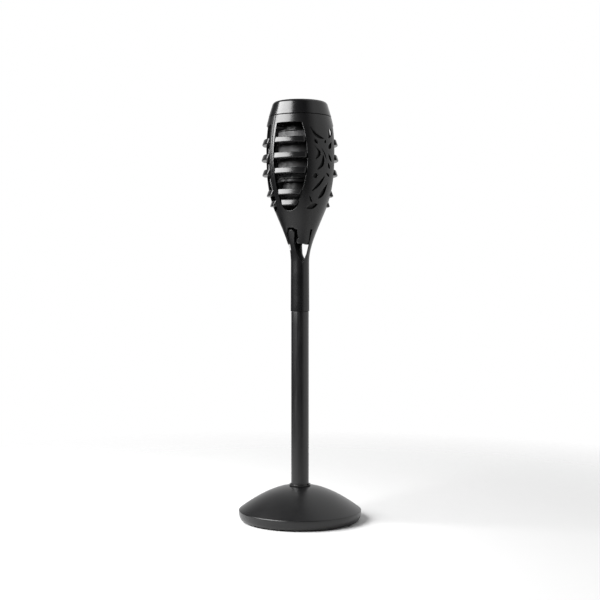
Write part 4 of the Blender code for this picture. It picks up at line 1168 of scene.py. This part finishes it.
class TORCH_OT_shade(bpy.types.Operator):
    """Smoked diffuser with its crown, flange and cup, and the power button"""

    bl_idname = "torch.shade"
    bl_label = "Lamp shade"

    def execute(self, context):
        make("smoked_diffuser",
             pipe(SHADE_RADIUS, SHADE_RADIUS - SHADE_WALL, SHADE_TOP, SHADE_Z, 24, 144),
             "lamp", "smoked_shade", "diffuser")

        hole = CARRIER_RADIUS + FIT
        step = CROWN_Z + LAMP_WALL
        inner = CROWN_RADIUS - LAMP_WALL
        crown = [[inner, CROWN_TOP], [CROWN_RADIUS, CROWN_TOP], [CROWN_RADIUS, step],
                 [SHADE_RADIUS, step], [SHADE_RADIUS, CROWN_Z], [hole, CROWN_Z], [hole, step],
                 [inner, step]]
        make("shade_crown", lathe(crown, 0.0007), "lamp", "lamp_plastic", "diffuser_crown")

        lower = FLANGE_TOP - FLANGE_DEPTH
        inside = FLANGE_TOP - LAMP_WALL
        neck = CUP_NECK_RADIUS
        bore = neck - LAMP_WALL
        flange = [[hole, FLANGE_TOP], [FLANGE_RADIUS, FLANGE_TOP], [FLANGE_RADIUS, lower],
                  [neck, lower], [neck, FLANGE_Z], [bore, FLANGE_Z], [bore, inside],
                  [hole, inside]]
        reach = [0.0004, 0.0011, 0.0011, 0.0012, 0.0004, 0.0003, 0.0006, 0.0003]
        make("shade_flange", lathe(flange, reach), "lamp", "lamp_plastic", "lamp_flange")

        flat = 0.5 * CUP_RADIUS
        shoulder = CUP_Z + 0.6 * CUP_RADIUS
        turn = np.linspace(0.0, 0.5 * np.pi, 20)
        curve = profile_of(np.cos(turn), -np.sin(turn))
        outer, bowl = [curve * [CUP_RADIUS - wall - flat, shoulder - CUP_Z - wall]
                       + [flat, shoulder] for wall in (0.0, LAMP_WALL)]
        floor = CUP_Z + LAMP_WALL
        hole = BUTTON_RADIUS + FIT
        cup = np.vstack([[[CUP_RADIUS, CUP_TOP]], outer, [[hole, CUP_Z]], [[hole, floor]],
                         bowl[::-1], [[CUP_RADIUS - LAMP_WALL, CUP_TOP]]])
        reach = np.zeros(len(cup))
        reach[[0, 1 + len(outer), -1]] = 0.0005
        make("shade_cup", lathe(cup, reach), "lamp", "lamp_plastic", "lamp_cup")

        lip = BUTTON_RADIUS + BUTTON_LIP
        low = floor + GAP
        high = low + BUTTON_FLANGE
        stem = 0.5 * BUTTON_RADIUS
        button = [[0.0, BUTTON_TOP], [stem, BUTTON_TOP], [stem, high], [lip, high], [lip, low],
                  [BUTTON_RADIUS, low], [BUTTON_RADIUS, BUTTON_Z],
                  [BUTTON_RADIUS * 0.72, BUTTON_Z], [BUTTON_RADIUS * 0.58, BUTTON_Z + 0.0005],
                  [0.0, BUTTON_Z + 0.0006]]
        reach = [0.0, 0.0003, 0.0003, 0.0003, 0.0003, 0.0002, 0.0006, 0.0004, 0.0006, 0.0]
        make("round_button", lathe(button, reach, 64, False), "button", "cap_plastic",
             "power_button")
        return {"FINISHED"}


class TORCH_OT_works(bpy.types.Operator):
    """Light strip with its chips on the carrier, and the power parts inside it"""

    bl_idname = "torch.works"
    bl_label = "Lamp works"

    def execute(self, context):
        inner = CARRIER_RADIUS + GAP
        outer = inner + STRIP_THICKNESS
        strip = [[outer, STRIP_TOP], [outer, STRIP_Z], [inner, STRIP_Z], [inner, STRIP_TOP]]
        make("light_strip", lathe(strip, 0.0002, 96), "lamp", "board_green", "led_board")
        pitch = (STRIP_TOP - STRIP_Z) / LED_ROWS
        cases = []
        faces = []
        for row in range(LED_ROWS):
            z = STRIP_Z + pitch * (row + 0.5)
            turn = 180.0 / LEDS_PER_ROW * (row % 2)
            for azimuth, place in ring_places(LEDS_PER_ROW, outer + 0.0003, turn, z):
                cases.append(brick(place, LED_CASE, azimuth, 8, 12))
            for azimuth, place in ring_places(LEDS_PER_ROW, outer + 0.0007, turn, z):
                faces.append(brick(place, LED_FACE, azimuth, 8, 12, 0.6))
        make("light_cases", combine(cases), "lamp", "white_plastic")
        make("light_lenses", combine(faces), "lamp", "chip_face")

        low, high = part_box("led_carrier")
        bore = CARRIER_RADIUS - CARRIER_WALL
        carrier = [[CARRIER_RADIUS, high.z], [CARRIER_RADIUS, low.z], [bore, low.z],
                   [bore, high.z]]
        make("light_carrier", lathe(carrier, 0.0004, 96), "lamp", "white_plastic",
             "led_carrier")

        radius, bottom, top = extent("battery_cell")
        nub = 0.4 * radius
        cell = [[0.0, top], [nub, top], [nub, top - 0.0008], [radius - 0.0006, top - 0.0008],
                [radius, top - 0.0014], [radius, top - 0.0030], [radius - 0.0003, top - 0.0034],
                [radius, top - 0.0038], [radius, bottom], [0.0, bottom]]
        reach = [0.0, 0.0002, 0.0001, 0.0002, 0.0003, 0.0001, 0.0001, 0.0001, 0.0006, 0.0]
        make("power_cell", lathe(cell, reach, 72, False), "lamp", "battery_wrap",
             "battery_cell")

        low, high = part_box("tact_switch")
        make("switch_case", brick((0.0, 0.0, (low.z + high.z) / 2), high - low, 0.0, 12, 24, 0.2),
             "lamp", "inner_plastic", "tact_switch")
        dress("white_plastic", "cell_seat")
        dress("screw_steel", "cell_contact", "cell_spring")
        dress("board_green", "circuit_board")
        dress("lead_wrap", "panel_lead_1", "panel_lead_2")
        return {"FINISHED"}


# ---------------------------------------------------------------- stage
def soft_light(name, place, target, width, height, power):
    """Rectangular area light that faces a target."""
    data = bpy.data.lights.new(name, "AREA")
    data.shape = "RECTANGLE"
    data.size = width
    data.size_y = height
    data.energy = power
    light = bpy.data.objects.new(name, data)
    light.location = place
    toward = Vector(target) - Vector(place)
    light.rotation_euler = toward.to_track_quat("-Z", "Y").to_euler()
    bpy.context.scene.collection.objects.link(light)


def studio_air():
    """Surroundings: white to the eye, and for light bright at the back and on the right."""
    world = bpy.data.worlds.new("studio_air")
    world.use_nodes = True
    tree = world.node_tree
    tree.nodes.clear()
    parts = separate(tree, add_node(tree, "ShaderNodeTexCoord").outputs["Generated"])
    total = maths(tree, "MULTIPLY_ADD", parts["Y"], 0.6,
                  maths(tree, "MULTIPLY", parts["X"], 0.9))
    soft = add_node(tree, "ShaderNodeBackground", {
        "Color": spread(tree, total, 0.02, 0.85, -0.10, 0.40), "Strength": 1.0})
    white = add_node(tree, "ShaderNodeBackground", {
        "Color": (1.0, 1.0, 1.0, 1.0), "Strength": WHITE})
    seen = add_node(tree, "ShaderNodeLightPath").outputs["Is Camera Ray"]
    both = add_node(tree, "ShaderNodeMixShader", {
        0: seen, 1: soft.outputs[0], 2: white.outputs[0]})
    add_node(tree, "ShaderNodeOutputWorld", {"Surface": both.outputs[0]})
    bpy.context.scene.world = world


def floor_finish():
    """Matt pale floor that fades into the white surroundings away from the torch."""
    material, tree, shader, place = blank_finish("pale_floor", (0.66, 0.66, 0.66), 0.75)
    fill(tree, shader, {"Roughness": spread(tree, noise(tree, place, 30.0), 0.70, 0.82)})
    length = add_node(tree, "ShaderNodeVectorMath", {0: place}, operation="LENGTH")
    far = spread(tree, length.outputs["Value"], 0.0, 1.0, 0.20, 1.0)
    clear = add_node(tree, "ShaderNodeBsdfTransparent")
    both = add_node(tree, "ShaderNodeMixShader", {
        0: far, 1: shader.outputs[0], 2: clear.outputs[0]})
    fill(tree, tree.nodes["Material Output"], {"Surface": both.outputs[0]})
    return material


class TORCH_OT_stage(bpy.types.Operator):
    """Pale floor, soft light, surroundings and the camera"""

    bl_idname = "torch.stage"
    bl_label = "Stage"

    def execute(self, context):
        studio = context.scene.torch_studio
        context.scene.view_settings.view_transform = "Standard"
        corners = FLOOR_REACH * np.array([[-1, -1, 0], [1, -1, 0], [1, 1, 0], [-1, 1, 0]])
        floor = raw_object("pale_floor", (corners, [[0, 1, 2, 3]]))
        floor.data.materials.append(floor_finish())
        soft_light("key_light", LIGHT_PLACE, LIGHT_TARGET, *LIGHT_SIZE, studio.key)
        studio_air()
        data = bpy.data.cameras.new("camera")
        data.lens = studio.lens
        data.sensor_width = 36.0
        camera = bpy.data.objects.new("camera", data)
        camera.location = (0.0, -studio.distance, studio.height)
        camera.rotation_euler = (0.5 * math.pi - studio.tilt, 0.0, 0.0)
        context.scene.collection.objects.link(camera)
        context.scene.camera = camera
        return {"FINISHED"}


# ---------------------------------------------------------------- panel and run
PIECES = (TORCH_OT_base, TORCH_OT_pole, TORCH_OT_cage, TORCH_OT_louvres, TORCH_OT_cap,
          TORCH_OT_shade, TORCH_OT_works, TORCH_OT_stage)


class TORCH_PT_panel(bpy.types.Panel):
    """Sizes, looks and the pieces of the torch"""

    bl_label = "Solar Tiki Torch"
    bl_idname = "TORCH_PT_panel"
    bl_space_type = "VIEW_3D"
    bl_region_type = "UI"
    bl_category = "Torch"

    def draw(self, context):
        scene = context.scene
        for group in (scene.torch_sizes, scene.torch_finish, scene.torch_studio):
            box = self.layout.box()
            for name in group.bl_rna.properties.keys():
                if name not in ("rna_type", "name"):
                    box.prop(group, name)
        for piece in PIECES:
            self.layout.operator(piece.bl_idname)


CLASSES = (TorchSizes, TorchFinish, StudioSettings, *PIECES, TORCH_PT_panel)


def register():
    for item in CLASSES:
        bpy.utils.register_class(item)
    bpy.types.Scene.torch_sizes = bpy.props.PointerProperty(type=TorchSizes)
    bpy.types.Scene.torch_finish = bpy.props.PointerProperty(type=TorchFinish)
    bpy.types.Scene.torch_studio = bpy.props.PointerProperty(type=StudioSettings)


def unregister():
    del bpy.types.Scene.torch_studio
    del bpy.types.Scene.torch_finish
    del bpy.types.Scene.torch_sizes
    for item in reversed(CLASSES):
        bpy.utils.unregister_class(item)


def main():
    register()
    bpy.ops.torch.stage()
    bpy.ops.torch.base()
    bpy.ops.torch.pole()
    bpy.ops.torch.cage()
    bpy.ops.torch.louvres()
    bpy.ops.torch.cap()
    bpy.ops.torch.shade()
    bpy.ops.torch.works()


if __name__ == "__main__":
    main()
